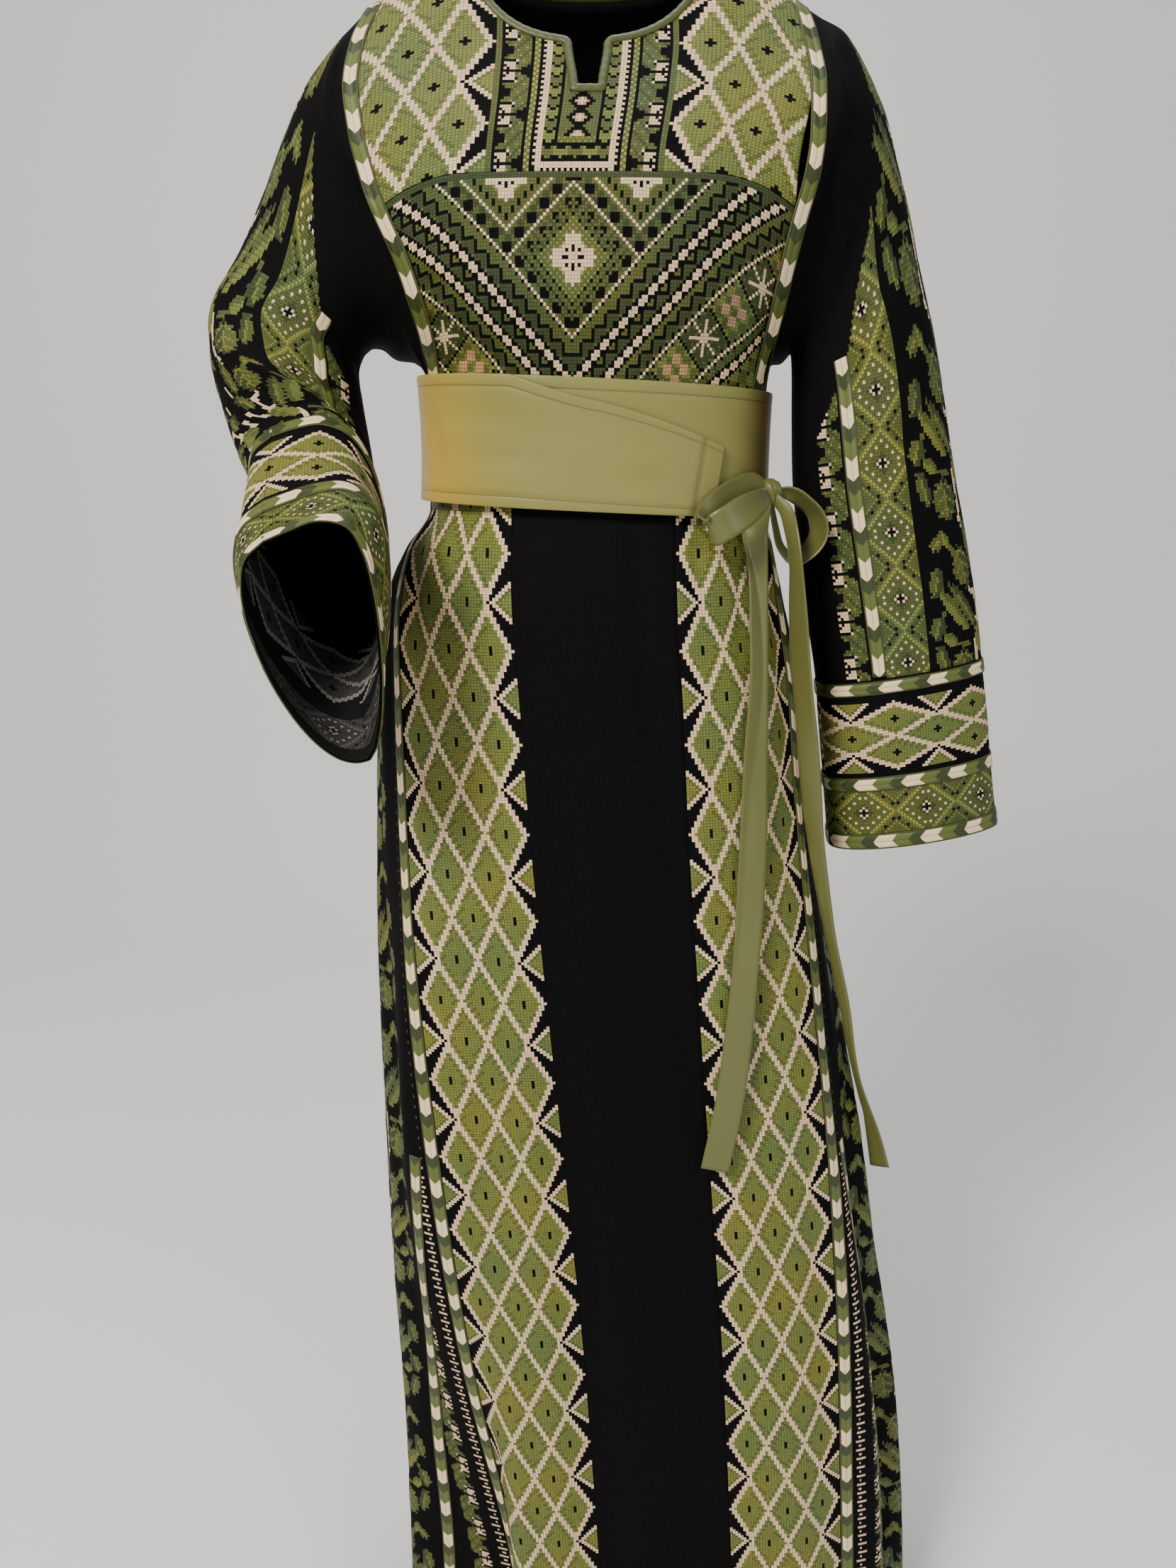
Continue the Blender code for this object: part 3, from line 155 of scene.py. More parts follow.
TAIL_INNER = [
    # x,     y,       z,       turn,  rise, half width
    (0.1300, -0.0740, -0.4005, -10.0, 0.0, 0.0070),
    (0.1235, -0.0840, -0.4145, -8.0, 0.0, 0.0108),
    (0.1230, -0.0890, -0.4425, -5.0, 0.0, 0.0115),
    (0.1235, -0.0950, -0.4710, 0.0, 0.0, 0.0115),
    (0.1240, -0.1030, -0.5135, 0.0, 0.0, 0.0115),
    (0.1245, -0.1110, -0.5570, 0.0, 0.0, 0.0115),
    (0.1250, -0.1170, -0.6010, 0.0, 0.0, 0.0115),
    (0.1255, -0.1230, -0.6460, 0.0, 0.0, 0.0115),
    (0.1240, -0.1300, -0.7075, -8.0, 0.0, 0.0112),
    (0.1215, -0.1350, -0.7540, -10.0, 0.0, 0.0110),
    (0.1185, -0.1390, -0.8025, -10.0, 0.0, 0.0110),
    (0.1120, -0.1430, -0.8625, -6.0, 0.0, 0.0112),
    (0.1025, -0.1460, -0.9160, 0.0, 0.0, 0.0115),
]
TAIL_OUTER = [
    (0.1475, -0.0760, -0.3980, -40.0, 0.0, 0.0050),
    (0.1520, -0.0870, -0.4145, -58.0, 0.0, 0.0070),
    (0.1545, -0.0920, -0.4315, -66.0, 0.0, 0.0085),
    (0.1590, -0.0900, -0.4725, -62.0, 0.0, 0.0105),
    (0.1650, -0.0860, -0.5330, -50.0, 0.0, 0.0115),
    (0.1740, -0.0830, -0.6115, -30.0, 0.0, 0.0115),
    (0.1800, -0.0810, -0.6605, -36.0, 0.0, 0.0115),
    (0.1920, -0.0780, -0.7285, -36.0, 0.0, 0.0115),
    (0.2100, -0.0720, -0.8015, -40.0, 0.0, 0.0115),
    (0.2285, -0.0640, -0.8790, -52.0, 0.0, 0.0115),
    (0.2505, -0.0560, -0.9415, -38.0, 0.0, 0.0115),
    (0.2595, -0.0530, -0.9730, -30.0, 0.0, 0.0115),
]
LOOP_INNER = [
    (0.1260, -0.0740, -0.3800, 0.0, 95.0, 0.0070),
    (0.1085, -0.0900, -0.3860, 0.0, 102.0, 0.0110),
    (0.0930, -0.1060, -0.3965, 0.0, 108.0, 0.0115),
    (0.0850, -0.1130, -0.4055, 0.0, 112.0, 0.0115),
    (0.0870, -0.1190, -0.4120, 0.0, 115.0, 0.0115),
    (0.0970, -0.1220, -0.4070, 0.0, 118.0, 0.0115),
    (0.1115, -0.1160, -0.3985, 0.0, 118.0, 0.0115),
    (0.1265, -0.0970, -0.3910, 0.0, 112.0, 0.0085),
]
LOOP_OUTER = [
    (0.1500, -0.0660, -0.3865, -60.0, 45.0, 0.0060),
    (0.1630, -0.0670, -0.3930, -71.0, 20.0, 0.0100),
    (0.1730, -0.0680, -0.4040, -66.0, 8.0, 0.0110),
    (0.1750, -0.0690, -0.4170, -64.0, -4.0, 0.0115),
    (0.1670, -0.0695, -0.4300, -74.0, -18.0, 0.0115),
    (0.1555, -0.0700, -0.4355, -95.0, -26.0, 0.0110),
    (0.1465, -0.0700, -0.4270, -110.0, -12.0, 0.0100),
    (0.1420, -0.0690, -0.4125, -116.0, 0.0, 0.0075),
]
KNOT_ANGLE, KNOT_SHARE = 61.5, 0.805
KNOT_RADII = (0.0085, 0.0085, 0.0105)
RIBBON = 0.0009
RIBBON_CLEAR = 0.0035
RIBBON_PINCH = 0.0040     # a ribbon's half width where it leaves the knot

# ---------------------------------------------------------------- the stitches
STITCH, STITCH_ROW = 0.00212, 0.00232     # width and height of one cross-stitch
SKIRT_STITCH = 0.00240                    # the skirt's strips are worked a little larger
SKIRT_FIRST_NARROW = -0.4619              # height of the first narrow row of the skirt's lattice
BARE, DARK, MID, LIGHT, CREAM, LIME, ROSE = range(7)
PALETTE = np.array([
    (0.0040, 0.0036, 0.0040),  # bare cloth
    (0.040, 0.056, 0.011),    # dark olive
    (0.088, 0.108, 0.019),    # middle green
    (0.172, 0.194, 0.034),    # light green
    (0.860, 0.620, 0.380),    # cream
    (0.300, 0.300, 0.058),    # yellow-green
    (0.500, 0.270, 0.130),    # rose tan
])
SHADE_RANGE = 0.20                        # how far one stitch's brightness may differ from another's
THREAD_DRIFT = np.array([0.20, 0.06, -0.18])
REVERSE_SHARE, REVERSE_LEAST = 0.42, 0.010   # how much of a thread's brightness its reverse shows
GENERATOR = np.random.default_rng(7)


# ---------------------------------------------------------------- small tools
def hermite(t, before, after, slope_before, slope_after):
    """The cubic from one value to the next, with slopes scaled to the step between them."""
    smooth = t * t * (3 - 2 * t)
    bend = t * (1 - t) ** 2 * slope_before - t * t * (1 - t) * slope_after
    return before * (1 - smooth) + after * smooth + bend


def curve(rows, column):
    """A monotone cubic through one column of a table whose first column is the height."""
    keys = np.array([row[0] for row in rows])[::-1]
    values = np.array([row[column] for row in rows])[::-1]
    steps = np.diff(keys)
    slopes = np.diff(values) / steps
    tangents = np.zeros(len(keys))
    tangents[0], tangents[-1] = slopes[0], slopes[-1]
    for i in range(1, len(keys) - 1):
        if slopes[i - 1] * slopes[i] > 0:
            before, after = steps[i - 1], steps[i]
            weight_a, weight_b = 2 * after + before, after + 2 * before
            tangents[i] = (weight_a + weight_b) / (weight_a / slopes[i - 1] + weight_b / slopes[i])

    def evaluate(key):
        i = np.clip(np.searchsorted(keys, key) - 1, 0, len(steps) - 1)
        t = np.clip((key - keys[i]) / steps[i], 0.0, 1.0)
        return hermite(t, values[i], values[i + 1], steps[i] * tangents[i], steps[i] * tangents[i + 1])
    return evaluate


def ease(value, start, end):
    """0 before start, 1 after end, smooth between."""
    t = np.clip((value - start) / (end - start), 0.0, 1.0)
    return t * t * (3 - 2 * t)


def unit(vectors):
    """Vectors scaled to a length of one."""
    length = np.linalg.norm(vectors, axis=-1, keepdims=True)
    return vectors / np.maximum(length, 1e-12)


def spline(points, keys, at):
    """A smooth curve through points at keys, read at other keys."""
    points, keys, at = np.asarray(points, float), np.asarray(keys, float), np.asarray(at, float)
    shape = (-1,) + (1,) * (points.ndim - 1)
    steps = np.diff(keys).reshape(shape)
    slopes = np.diff(points, axis=0) / steps
    tangents = np.empty_like(points)
    tangents[0], tangents[-1] = slopes[0], slopes[-1]
    tangents[1:-1] = (steps[1:] * slopes[:-1] + steps[:-1] * slopes[1:]) / (steps[1:] + steps[:-1])
    i = np.clip(np.searchsorted(keys, at, side="right") - 1, 0, len(keys) - 2)
    t = (at - keys[i]).reshape(shape) / steps[i]
    return hermite(t, points[i], points[i + 1], steps[i] * tangents[i], steps[i] * tangents[i + 1])


def lengths_of(points):
    """Distance of each point of a line from its first."""
    steps = np.linalg.norm(np.diff(points, axis=0), axis=-1)
    return np.concatenate([[0.0], np.cumsum(steps)])


def along(points, distances):
    """Points at given distances along a polyline."""
    points = np.asarray(points)
    lengths = lengths_of(points)
    return np.stack([np.interp(distances, lengths, points[:, k]) for k in range(3)], axis=1)


def normals_of(points, centres):
    """Normals of a grid of points, all turned away from its centres."""
    normals = np.cross(np.gradient(points, axis=1), np.gradient(points, axis=0))
    if np.sum(normals * (points - centres)) < 0:
        normals = -normals
    return unit(normals)


def faces_inward(points, normals):
    """Does a grid's own winding, down and then across, turn against its normals."""
    down, across = points[1:, :-1] - points[:-1, :-1], points[:-1, 1:] - points[:-1, :-1]
    return np.sum(np.cross(down, across) * normals[:-1, :-1]) < 0


def middles(a):
    """The mean of the four corners of each cell of a grid."""
    return (a[:-1, :-1] + a[1:, :-1] + a[:-1, 1:] + a[1:, 1:]) / 4


def stitch_numbers(u, v):
    """The stitch that each cell of a grid falls in, across and down."""
    return tuple(np.floor(middles(a) + 1e-6).astype(int) for a in (u, v))


def dents(points, normals, a, b, table):
    """Push a surface in (+) or out (-) along listed creases, in the surface's own two measures.

    Each crease runs from one place to another and has a width and a depth.
    """
    total = np.zeros(points.shape[:-1])
    for a0, b0, a1, b1, width, depth in table:
        da, db = a1 - a0, b1 - b0
        share = np.clip(((a - a0) * da + (b - b0) * db) / (da * da + db * db), 0.0, 1.0)
        gap = np.hypot(a - a0 - share * da, b - b0 - share * db)
        swell = 0.35 + 0.65 * np.sin(np.pi * np.clip(share, 0.02, 0.98))
        total += depth * swell * np.exp(-(gap / width) ** 2)
    return points - normals * total[..., None]


# ---------------------------------------------------------------- counted patterns
HALF_WIDE, HALF_TALL = 7, 15       # half a lattice diamond, in columns and rows
RIM = 9                            # column of a lattice's outer line at its narrow rows


def crossing_rows(m, n):
    """The cream outline of a lattice: is the stitch m columns and n rows from a crossing cream."""
    line = (n + 1) // 2
    return (m <= line) & (m >= line - 1) & (n < HALF_TALL)


def lattice(c, r, crossings, dot):
    """Diamonds between cream outlines, several abreast, with triangles in the notches at both sides.

    c counts columns from the first crossing of a wide row and r counts rows from a narrow row;
    crossings is how many stand in a wide row, and dot picks the centre's mark.
    """
    wide_pitch, tall_pitch = 2 * HALF_WIDE, 2 * HALF_TALL
    row = np.mod(r, tall_pitch)
    narrow, wide = np.minimum(row, tall_pitch - row), np.abs(row - HALF_TALL)
    near_narrow = HALF_WIDE + wide_pitch * np.clip(np.round((c - HALF_WIDE) / wide_pitch), 0, crossings - 2)
    near_wide = wide_pitch * np.clip(np.round(c / wide_pitch), 0, crossings - 1)
    # e counts columns from the nearer side, and rim is the outline's column in each row
    e = np.minimum(c, wide_pitch * (crossings - 1) - c)
    rim = RIM - (narrow + 1) // 2
    outline = np.where(narrow >= 1, (e == rim) | (e == rim - 1), e == RIM - 1)
    inside = (e > rim) | ((e == rim) & (narrow == 0))
    inner = crossing_rows(np.abs(c - near_narrow), narrow) | crossing_rows(np.abs(c - near_wide), wide)
    cream = outline | (inner & inside)
    codes = np.where(cream, CREAM, BARE)
    # a stitch lies in a diamond centred on a wide row or in one centred on a narrow row
    centre_a = HALF_WIDE + wide_pitch * np.clip(np.floor(c / wide_pitch), 0, crossings - 2)
    centre_b = wide_pitch * np.clip(np.round(c / wide_pitch), 1, max(crossings - 2, 1))
    for centre, up in ((centre_a, wide), (centre_b, narrow)):
        d = np.abs(c - centre)
        share = d / HALF_WIDE + up / HALF_TALL
        here = (share < 1.02) & ~cream & inside
        shade = np.where((share < 0.60) | (np.mod(c + 2 * r, 3) != 0), LIGHT, MID)
        codes = np.where(here, shade, codes)
        mark = d + up <= 1 if dot == "plus" else (d == 0) & (up <= 1)
        codes = np.where(here & mark, BARE, codes)
    # green triangles with cream edges stand in the notches beside the narrow rows
    k = RIM - 3 - e
    triangle = (k >= 0) & (e >= 0) & (narrow <= k)
    leg = triangle & (narrow >= k - 1)
    codes = np.where(leg, CREAM, np.where(triangle, np.where(narrow <= k - 3, LIGHT, MID), codes))
    return codes.astype(int)


DIAMOND_PERIOD, DIAMOND_MIDDLE = 22, 8
DIAMOND_RINGS = np.array([BARE, BARE, CREAM, DARK, MID, MID, MID, CREAM, MID, MID, LIME, LIGHT,
                          MID, MID, DARK, LIGHT, MID, MID, MID, MID])


def diamond_column(c, r):
    """A column 17 stitches wide of concentric diamonds, with a colour for each ring."""
    dx = np.abs(c - DIAMOND_MIDDLE)
    row = np.mod(r, DIAMOND_PERIOD)
    d = dx + np.minimum(row, DIAMOND_PERIOD - row)
    codes = DIAMOND_RINGS[np.minimum(d, len(DIAMOND_RINGS) - 1)]
    # every second stitch of the outlines stands apart
    codes = np.where((d == 7) & (np.mod(dx, 2) == 1), MID, codes)
    codes = np.where((d == 2) & (dx == 0), DARK, codes)
    codes = np.where((d == 13) & (np.mod(dx, 3) == 0), BARE, codes)
    return np.where(dx > DIAMOND_MIDDLE, BARE, codes).astype(int)


LEAF_PERIOD = 16
# Half of the serrated leaf, from the mark's middle row: first and last column of each row, and then
# the columns of the mark.
LEAF_ROWS = ((9, 8), (3, 4), (1, 4), (0, 3), (0, 3), (0, 8), (0, 7), (0, 5), (0, 5))
MARK_ROWS = ((), (5, 6, 8), (5, 6, 7), (5, 6, 7, 8), (4,))


def leaf_and_k(c, r):
    """A serrated green band with a cream double mark in each of its notches.

    c counts from the band's straight edge; the band and its marks take 9 columns.
    """
    m = np.abs(np.mod(r + LEAF_PERIOD // 2, LEAF_PERIOD) - LEAF_PERIOD // 2)
    first, last = (np.array(ends)[m] for ends in zip(*LEAF_ROWS))
    shade = np.where(np.mod(c + r, 5) == 0, DARK, np.where(np.mod(c * 2 - r, 7) == 3, LIGHT, MID))
    codes = np.where((c >= first) & (c <= last), shade, BARE)
    for distance, columns in enumerate(MARK_ROWS):
        codes = np.where((m == distance) & np.isin(c, columns), CREAM, codes)
    return codes.astype(int)


VINE_PERIOD = 58
VINE_LEAVES = [
    # column, row, half width, half length, turn in degrees, colour, lighter side
    (19.0, 6.0, 6.2, 6.4, 0.0, DARK, MID),
    (8.5, 21.0, 2.6, 9.0, -14.0, DARK, MID),
    (15.0, 28.5, 5.2, 7.2, -12.0, DARK, MID),
    (22.5, 18.5, 1.9, 3.2, -30.0, MID, LIGHT),
    (26.0, 19.5, 2.3, 3.4, 50.0, MID, MID),
    (21.5, 43.0, 2.4, 10.5, -38.0, MID, LIGHT),
    (16.5, 41.5, 2.4, 10.5, -36.0, DARK, MID),
    (24.5, 53.0, 2.2, 3.2, -50.0, MID, LIGHT),
    (7.5, 54.0, 4.2, 5.8, 6.0, MID, LIGHT),
    (28.5, 32.5, 2.9, 5.0, 18.0, DARK, MID),
    (4.5, 36.0, 2.6, 6.0, 8.0, DARK, MID),
    (29.5, 48.0, 3.2, 4.4, 25.0, DARK, MID),
    (28.5, 1.5, 2.8, 5.4, -16.0, DARK, MID),
    (3.5, 8.0, 2.6, 5.0, 12.0, DARK, MID),
]
VINE_STEMS = [
    # column, row, column, row, colour
    (12.0, 55.5, 11.0, 64.0, CREAM), (11.0, 6.0, 12.5, 13.0, CREAM), (12.5, 13.0, 11.0, 15.0, CREAM),
    (12.0, 36.5, 8.5, 39.0, CREAM), (8.5, 37.0, 7.5, 48.0, CREAM), (9.5, 47.0, 6.5, 49.0, CREAM),
    (22.0, 20.0, 18.0, 24.0, MID), (23.5, 54.5, 15.0, 56.0, MID), (26.0, 43.0, 28.5, 46.0, MID),
    (28.0, 36.0, 24.0, 38.5, MID), (3.0, 23.0, 3.0, 30.0, CREAM), (1.5, 42.0, 2.5, 52.0, CREAM),
]


def vine(c, r):
    """Leaves, sprigs and stems on the bare cloth, c columns from the outer line of a sleeve."""
    codes = np.zeros(np.broadcast(c, r).shape, int)
    row = np.mod(r, VINE_PERIOD)
    for shift in (-VINE_PERIOD, 0, VINE_PERIOD):
        y = row + shift
        for c0, r0, c1, r1, colour in VINE_STEMS:
            dc, dr = c1 - c0, r1 - r0
            share = np.clip(((c - c0) * dc + (y - r0) * dr) / (dc * dc + dr * dr), 0, 1)
            gap = np.hypot(c - c0 - share * dc, y - r0 - share * dr)
            codes = np.where(gap < 0.85, colour, codes)
        for c0, r0, wide, tall, turn, colour, light in VINE_LEAVES:
            cosine, sine = math.cos(math.radians(turn)), math.sin(math.radians(turn))
            p = (c - c0) * cosine - (y - r0) * sine
            q = (c - c0) * sine + (y - r0) * cosine
            leaf = (p / wide) ** 2 + np.abs(q / tall) ** 1.8
            ragged = 1.0 + 0.22 * np.sin(q * 2.4 + 1.5 * np.sign(p))
            codes = np.where(leaf < ragged, np.where(p > 0.15 * wide, light, colour), codes)
            vein = (leaf < 0.8) & (np.abs(p - 0.1) < 0.5) & (q > -0.5 * tall)
            twig = (leaf < 0.75) & (np.abs(np.mod(q - 0.8 * np.abs(p), 4.0) - 2.0) < 0.5) & (wide > 4)
            codes = np.where(vein | twig, LIGHT, codes)
    return codes


def comb(c, r):
    """Short cream strokes beside the skirt's braid, then the leaf band with its marks."""
    row = np.mod(r, 4)
    strokes = np.where((row == 0) & (c >= 2) & (c < 6) | ((row == 2) & (c == 3)), CREAM, BARE)
    leaves = leaf_and_k(19 - c, r)
    return np.where(c < 7, strokes, np.where((c >= 11) & (c <= 19), leaves, BARE))


def double_line(c, r, first, light):
    """Two columns of green, worked a little lighter on one of them."""
    pair = np.where(np.mod(c + r, 2) == 0, light, MID)
    return (c == first) | (c == first + 1), pair


def tulip(x, y, colour):
    """A flower four or five stitches wide and four rows tall: foot, cup and two tips."""
    wide = np.abs(x)
    foot, cup, tips = (wide < 1) & (y == 0), (y == 1) | (y == 2), (wide > 1) & (y == 3)
    return np.where((foot | cup | tips) & (wide <= 2), colour, BARE)


def rosette(x, y):
    """A small tan rose: three rows, five stitches wide, with a cream heart."""
    codes = np.where((np.abs(x) <= 2) & (np.abs(y) <= 1) & (np.abs(x) + np.abs(y) <= 2), ROSE, BARE)
    return np.where((np.abs(x) <= 1) & (y == 0) | (x == 0) & (np.abs(y) <= 1), CREAM, codes)


def yoke_pattern(c, r):
    """The front yoke: c columns from its axis, r rows up from the seam under it."""
    i = np.abs(c)
    codes = np.where(i >= 31, lattice(i - 31, r, 4, "plus"), BARE)
    codes = np.where((i >= 19) & (i <= 27), leaf_and_k(i - 19, r - 2), codes)
    for first, light in ((16, LIME), (29, MID)):
        hit, pair = double_line(i, r, first, light)
        codes = np.where(hit, pair, codes)
    # the toothed cream band runs down both sides and under the row of flowers
    codes = np.where((i == 14) & (r >= 1) & (np.mod(r, 2) == 0), CREAM, codes)
    codes = np.where((i == 12) | (i == 13), CREAM, codes)
    foot = i <= 11
    codes = np.where(foot & ((r == 1) | (r == 2)), CREAM, codes)
    codes = np.where(foot & (r == 0) & (np.mod(i, 2) == 0), CREAM, codes)
    # flowers, five abreast along the foot and one above the other up both sides
    low = foot & (r >= 4) & (r <= 7)
    codes = np.where(low, BARE, codes)
    for place, colour in ((0, MID), (5, LIGHT), (9.5, MID)):
        flower = tulip(i - place, r - 4, colour)
        codes = np.where(low & (flower > 0), flower, codes)
    side = (i >= 8) & (i <= 11) & (r >= 9)
    flower = tulip(i - 9.5, np.mod(r - 9, 4), MID)
    shade = np.where(np.mod((r - 9) // 4, 2) == 0, LIGHT, MID)
    codes = np.where(side & (flower > 0), shade, codes)
    # the inner frame below the slit and the small roses in it
    hit, pair = double_line(i, r, 5, MID)
    codes = np.where(hit & (r >= 9), pair, codes)
    codes = np.where((i <= 6) & ((r == 9) | (r == 10)), np.where(np.mod(c + r, 2) == 0, LIGHT, MID), codes)
    box = (i <= 4) & (r >= 11)
    y = np.mod(r - 14, 6) - 3
    rose = rosette(c, y + 0 * c)
    codes = np.where(box, rose, codes)
    bow = box & (i >= 2) & (np.abs(np.mod(r - 11, 6) - 3) <= i - 2)
    codes = np.where(bow & (rose == 0), MID, codes)
    codes = np.where((i == 0) & (r == 11), CREAM, codes)
    return codes.astype(int)


def flower_heart(i, j):
    """The large flower of the chest: rounded petals with open hearts."""
    a, b = np.abs(i), np.abs(j)
    petals = ((a <= 2) & (b <= 6)) | ((b <= 2) & (a <= 6)) | ((a <= 3) & (b <= 3))
    petals |= ((a == 0) & (b == 7)) | ((b == 0) & (a == 7))
    holes = ((a == 0) & (b >= 2) & (b <= 3)) | ((b == 0) & (a >= 2) & (a <= 3)) | ((a == 2) & (b == 2))
    return petals, holes


def stepped(i, r, first):
    """Square blocks of four stitches that climb beside a slanted line, split by black threads."""
    shift = -first % 4
    block = 4 * (i // 4 + (r + shift) // 4) - shift
    across, down = np.mod(i, 4), np.mod(r + shift, 4)
    gap = (across == 3) | (down == 3)
    codes = np.where(block == first, np.where(gap, BARE, MID), -1)
    codes = np.where(block == first - 4, np.where((across == 0) & (down == 0), BARE, MID), codes)
    return np.where(block == first + 4, np.where((across == 2) & (down == 2), BARE, DARK), codes)


def chest_pattern(c, r):
    """The panel under the yoke: c columns from its axis, r rows below the seam; bands run as a V."""
    i, s = np.abs(c), np.abs(c) + r
    beat = np.mod(i - r, 6)
    weave = np.mod(i // 3 + r // 3, 2)
    codes = np.where(weave == 0, MID, DARK)
    # outside the last rope: larger squares of two greens
    codes = np.where(s > 110, np.where(np.mod(i // 4 + r // 4, 2) == 0, MID, LIGHT), codes)
    codes = np.where((s > 110) & (np.mod(i, 4) == 0) & (np.mod(r, 4) == 0), BARE, codes)
    for first, low, high in ((47, 46, 56), (58, 60, 66), (70, 70, 78)):
        blocks = stepped(i, r, first)
        codes = np.where((s >= low) & (s <= high), np.where(blocks >= 0, blocks, MID), codes)
    # ropes of beads: a cream thread with a blob on each side of every sixth stitch
    for at in (58, 68, 108):
        near = s - at
        bead = (np.abs(near) == 1) & ((beat == 1) | (beat == 5))
        codes = np.where(np.abs(near) <= 2, BARE, codes)
        codes = np.where((near == 0) | bead, CREAM, codes)
    for at in (80, 101):
        near = s - at
        codes = np.where(np.abs(near) == 1, np.where(np.mod(i, 2) == 0, BARE, MID), codes)
        codes = np.where(near == 0, CREAM, codes)
    # flowers between the two thin lines, cream on dark and tan on olive by turns
    between = (s > 81) & (s < 100)
    turn = np.mod(i - r + 9, 18) - 9
    which = np.mod((i - r + 9) // 18, 2)
    dx, dy = (s - 90 + turn) / 2.0, (s - 90 - turn) / 2.0
    ax, ay = np.abs(dx), np.abs(dy)
    dark_ground = np.where(np.mod(i + 2 * r, 5) == 0, MID, DARK)
    olive_ground = np.where(weave == 0, MID, LIGHT)
    codes = np.where(between, np.where(which == 0, dark_ground, olive_ground), codes)
    rays = ((ax < 0.6) & (ay < 5.2)) | ((ay < 0.6) & (ax < 5.2)) | ((np.abs(ax - ay) < 0.6) & (ax < 4.2))
    four = ((ax < 1.1) & (ay < 4.2) & (ay > 1.2)) | ((ay < 1.1) & (ax < 4.2) & (ax > 1.2))
    codes = np.where(between & (which == 0) & rays, CREAM, codes)
    codes = np.where(between & (which == 1) & four, ROSE, codes)
    codes = np.where(between & (np.abs(turn) == 9), BARE, codes)
    # the big V
    codes = np.where(s == 46, np.where(np.mod(i, 2) == 0, BARE, MID), codes)
    codes = np.where(s == 45, CREAM, codes)
    inside = s < 45
    field = np.where(np.mod(i // 2 + r // 2, 2) == 0, MID, DARK)
    codes = np.where(inside, field, codes)
    squares = (np.mod(i, 4) < 3) & (np.mod(r, 4) < 3) & (np.mod(i // 4 + r // 4, 2) == 0)
    # small V's at the top, each with half a flower
    v = np.abs(i - 21) + r
    d = i + np.abs(r - 24)
    codes = np.where(inside & squares & (s > 38), BARE, codes)
    codes = np.where(inside & squares & (v > 16) & (v < 23), BARE, codes)
    codes = np.where(inside & squares & (d > 21) & (d < 27), BARE, codes)
    small = inside & (v <= 16)
    codes = np.where(small, np.where(v > 8, MID, LIGHT), codes)
    codes = np.where(small & (v == 16), CREAM, codes)
    for ring in (12, 13):
        codes = np.where(small & (v == ring) & (np.mod(r, 2) == ring % 2), BARE, codes)
    petals, holes = flower_heart(i - 21, r - 1)
    codes = np.where(small & petals, np.where(holes, BARE, CREAM), codes)
    # the middle diamond with its flower
    middle = inside & (d <= 21)
    codes = np.where(middle, np.where(d > 11, np.where(np.mod(i + r, 3) == 0, DARK, MID), LIME), codes)
    codes = np.where(middle & (d >= 9) & (d <= 11), LIGHT, codes)
    codes = np.where(middle & (d == 21), CREAM, codes)
    codes = np.where(middle & squares & (d >= 17) & (d <= 20), BARE, codes)
    for ring in (12, 15):
        codes = np.where(middle & (d == ring) & (np.mod(i, 2) == ring % 2), BARE, codes)
    codes = np.where(middle & (d <= 10) & (np.mod(i + r, 2) == 0), MID, codes)
    petals, holes = flower_heart(i, r - 24)
    codes = np.where(middle & petals, np.where(holes, BARE, CREAM), codes)
    return np.where(r < 2, DARK, codes).astype(int)


# ---------------------------------------------------------------- the body's surfaces
CENTRE, RIGHT, LEFT, FRONT, BACK, SQUARE = (curve(BODY, column) for column in range(1, 7))
ARMHOLE_RIGHT, ARMHOLE_LEFT = curve(ARMHOLE, 1), curve(ARMHOLE, 2)


def armhole_reach(x, z):
    """How far the armhole's seam stands from the middle, on the side that x is on."""
    return np.where(x < 0, ARMHOLE_RIGHT(z), ARMHOLE_LEFT(z))


def oval(sine, cosine, z, extra=0.0):
    """The body's rounded section at a height: x from its centre and y, for a heading round it."""
    half = np.where(sine < 0, RIGHT(z), LEFT(z)) + extra
    depth = np.where(cosine > 0, FRONT(z), BACK(z)) + extra
    power = 2 / SQUARE(z)
    return (half * np.copysign(np.abs(sine) ** power, sine),
            -depth * np.copysign(np.abs(cosine) ** power, cosine))


def shoulder_height(x):
    """Height of the shoulder's ridge at x."""
    return -SHOULDER_FALL * np.maximum(np.abs(x) - NECK_HALF, 0.0) / (SHOULDER_TIP - NECK_HALF)


def torso(x, z, side):
    """Points of the bodice: side is -1 for the front and +1 for the back."""
    x, z = np.broadcast_arrays(np.asarray(x, float), np.asarray(z, float))
    half = np.where(x < CENTRE(z), RIGHT(z), LEFT(z))
    share = np.minimum(np.abs(x - CENTRE(z)) / half, 0.999)
    power = SQUARE(z)
    oval = (1 - share**power) ** (1 / power)
    drop = np.clip((shoulder_height(x) - z) / SHOULDER_DEEP, 0.0, 1.0)
    rounding = (1 - (1 - drop) ** SHOULDER_ROUND) ** (1 / SHOULDER_ROUND)
    depth = FRONT(z) if side < 0 else BACK(z)
    return np.stack([x, side * depth * oval * rounding, z], axis=-1)


def fold_depth(degrees, z):
    """How far the skirt's large folds draw it in, at headings round it and one height."""
    depth = np.zeros(degrees.shape)
    for angle, deep, inner, outer, start, full in FOLDS:
        gap = (degrees - angle + 180.0) % 360.0 - 180.0
        reach = np.where(gap * math.copysign(1.0, angle) > 0, outer, inner)
        wave = 0.5 * (1 + np.cos(np.pi * np.clip(gap / reach, -1, 1)))
        depth += deep * ease(-z, -start, -full) * wave
    return depth


RING_DEGREES = np.linspace(-180.0, 180.0, 1441)
RING_SINES, RING_COSINES = np.sin(np.radians(RING_DEGREES)), np.cos(np.radians(RING_DEGREES))


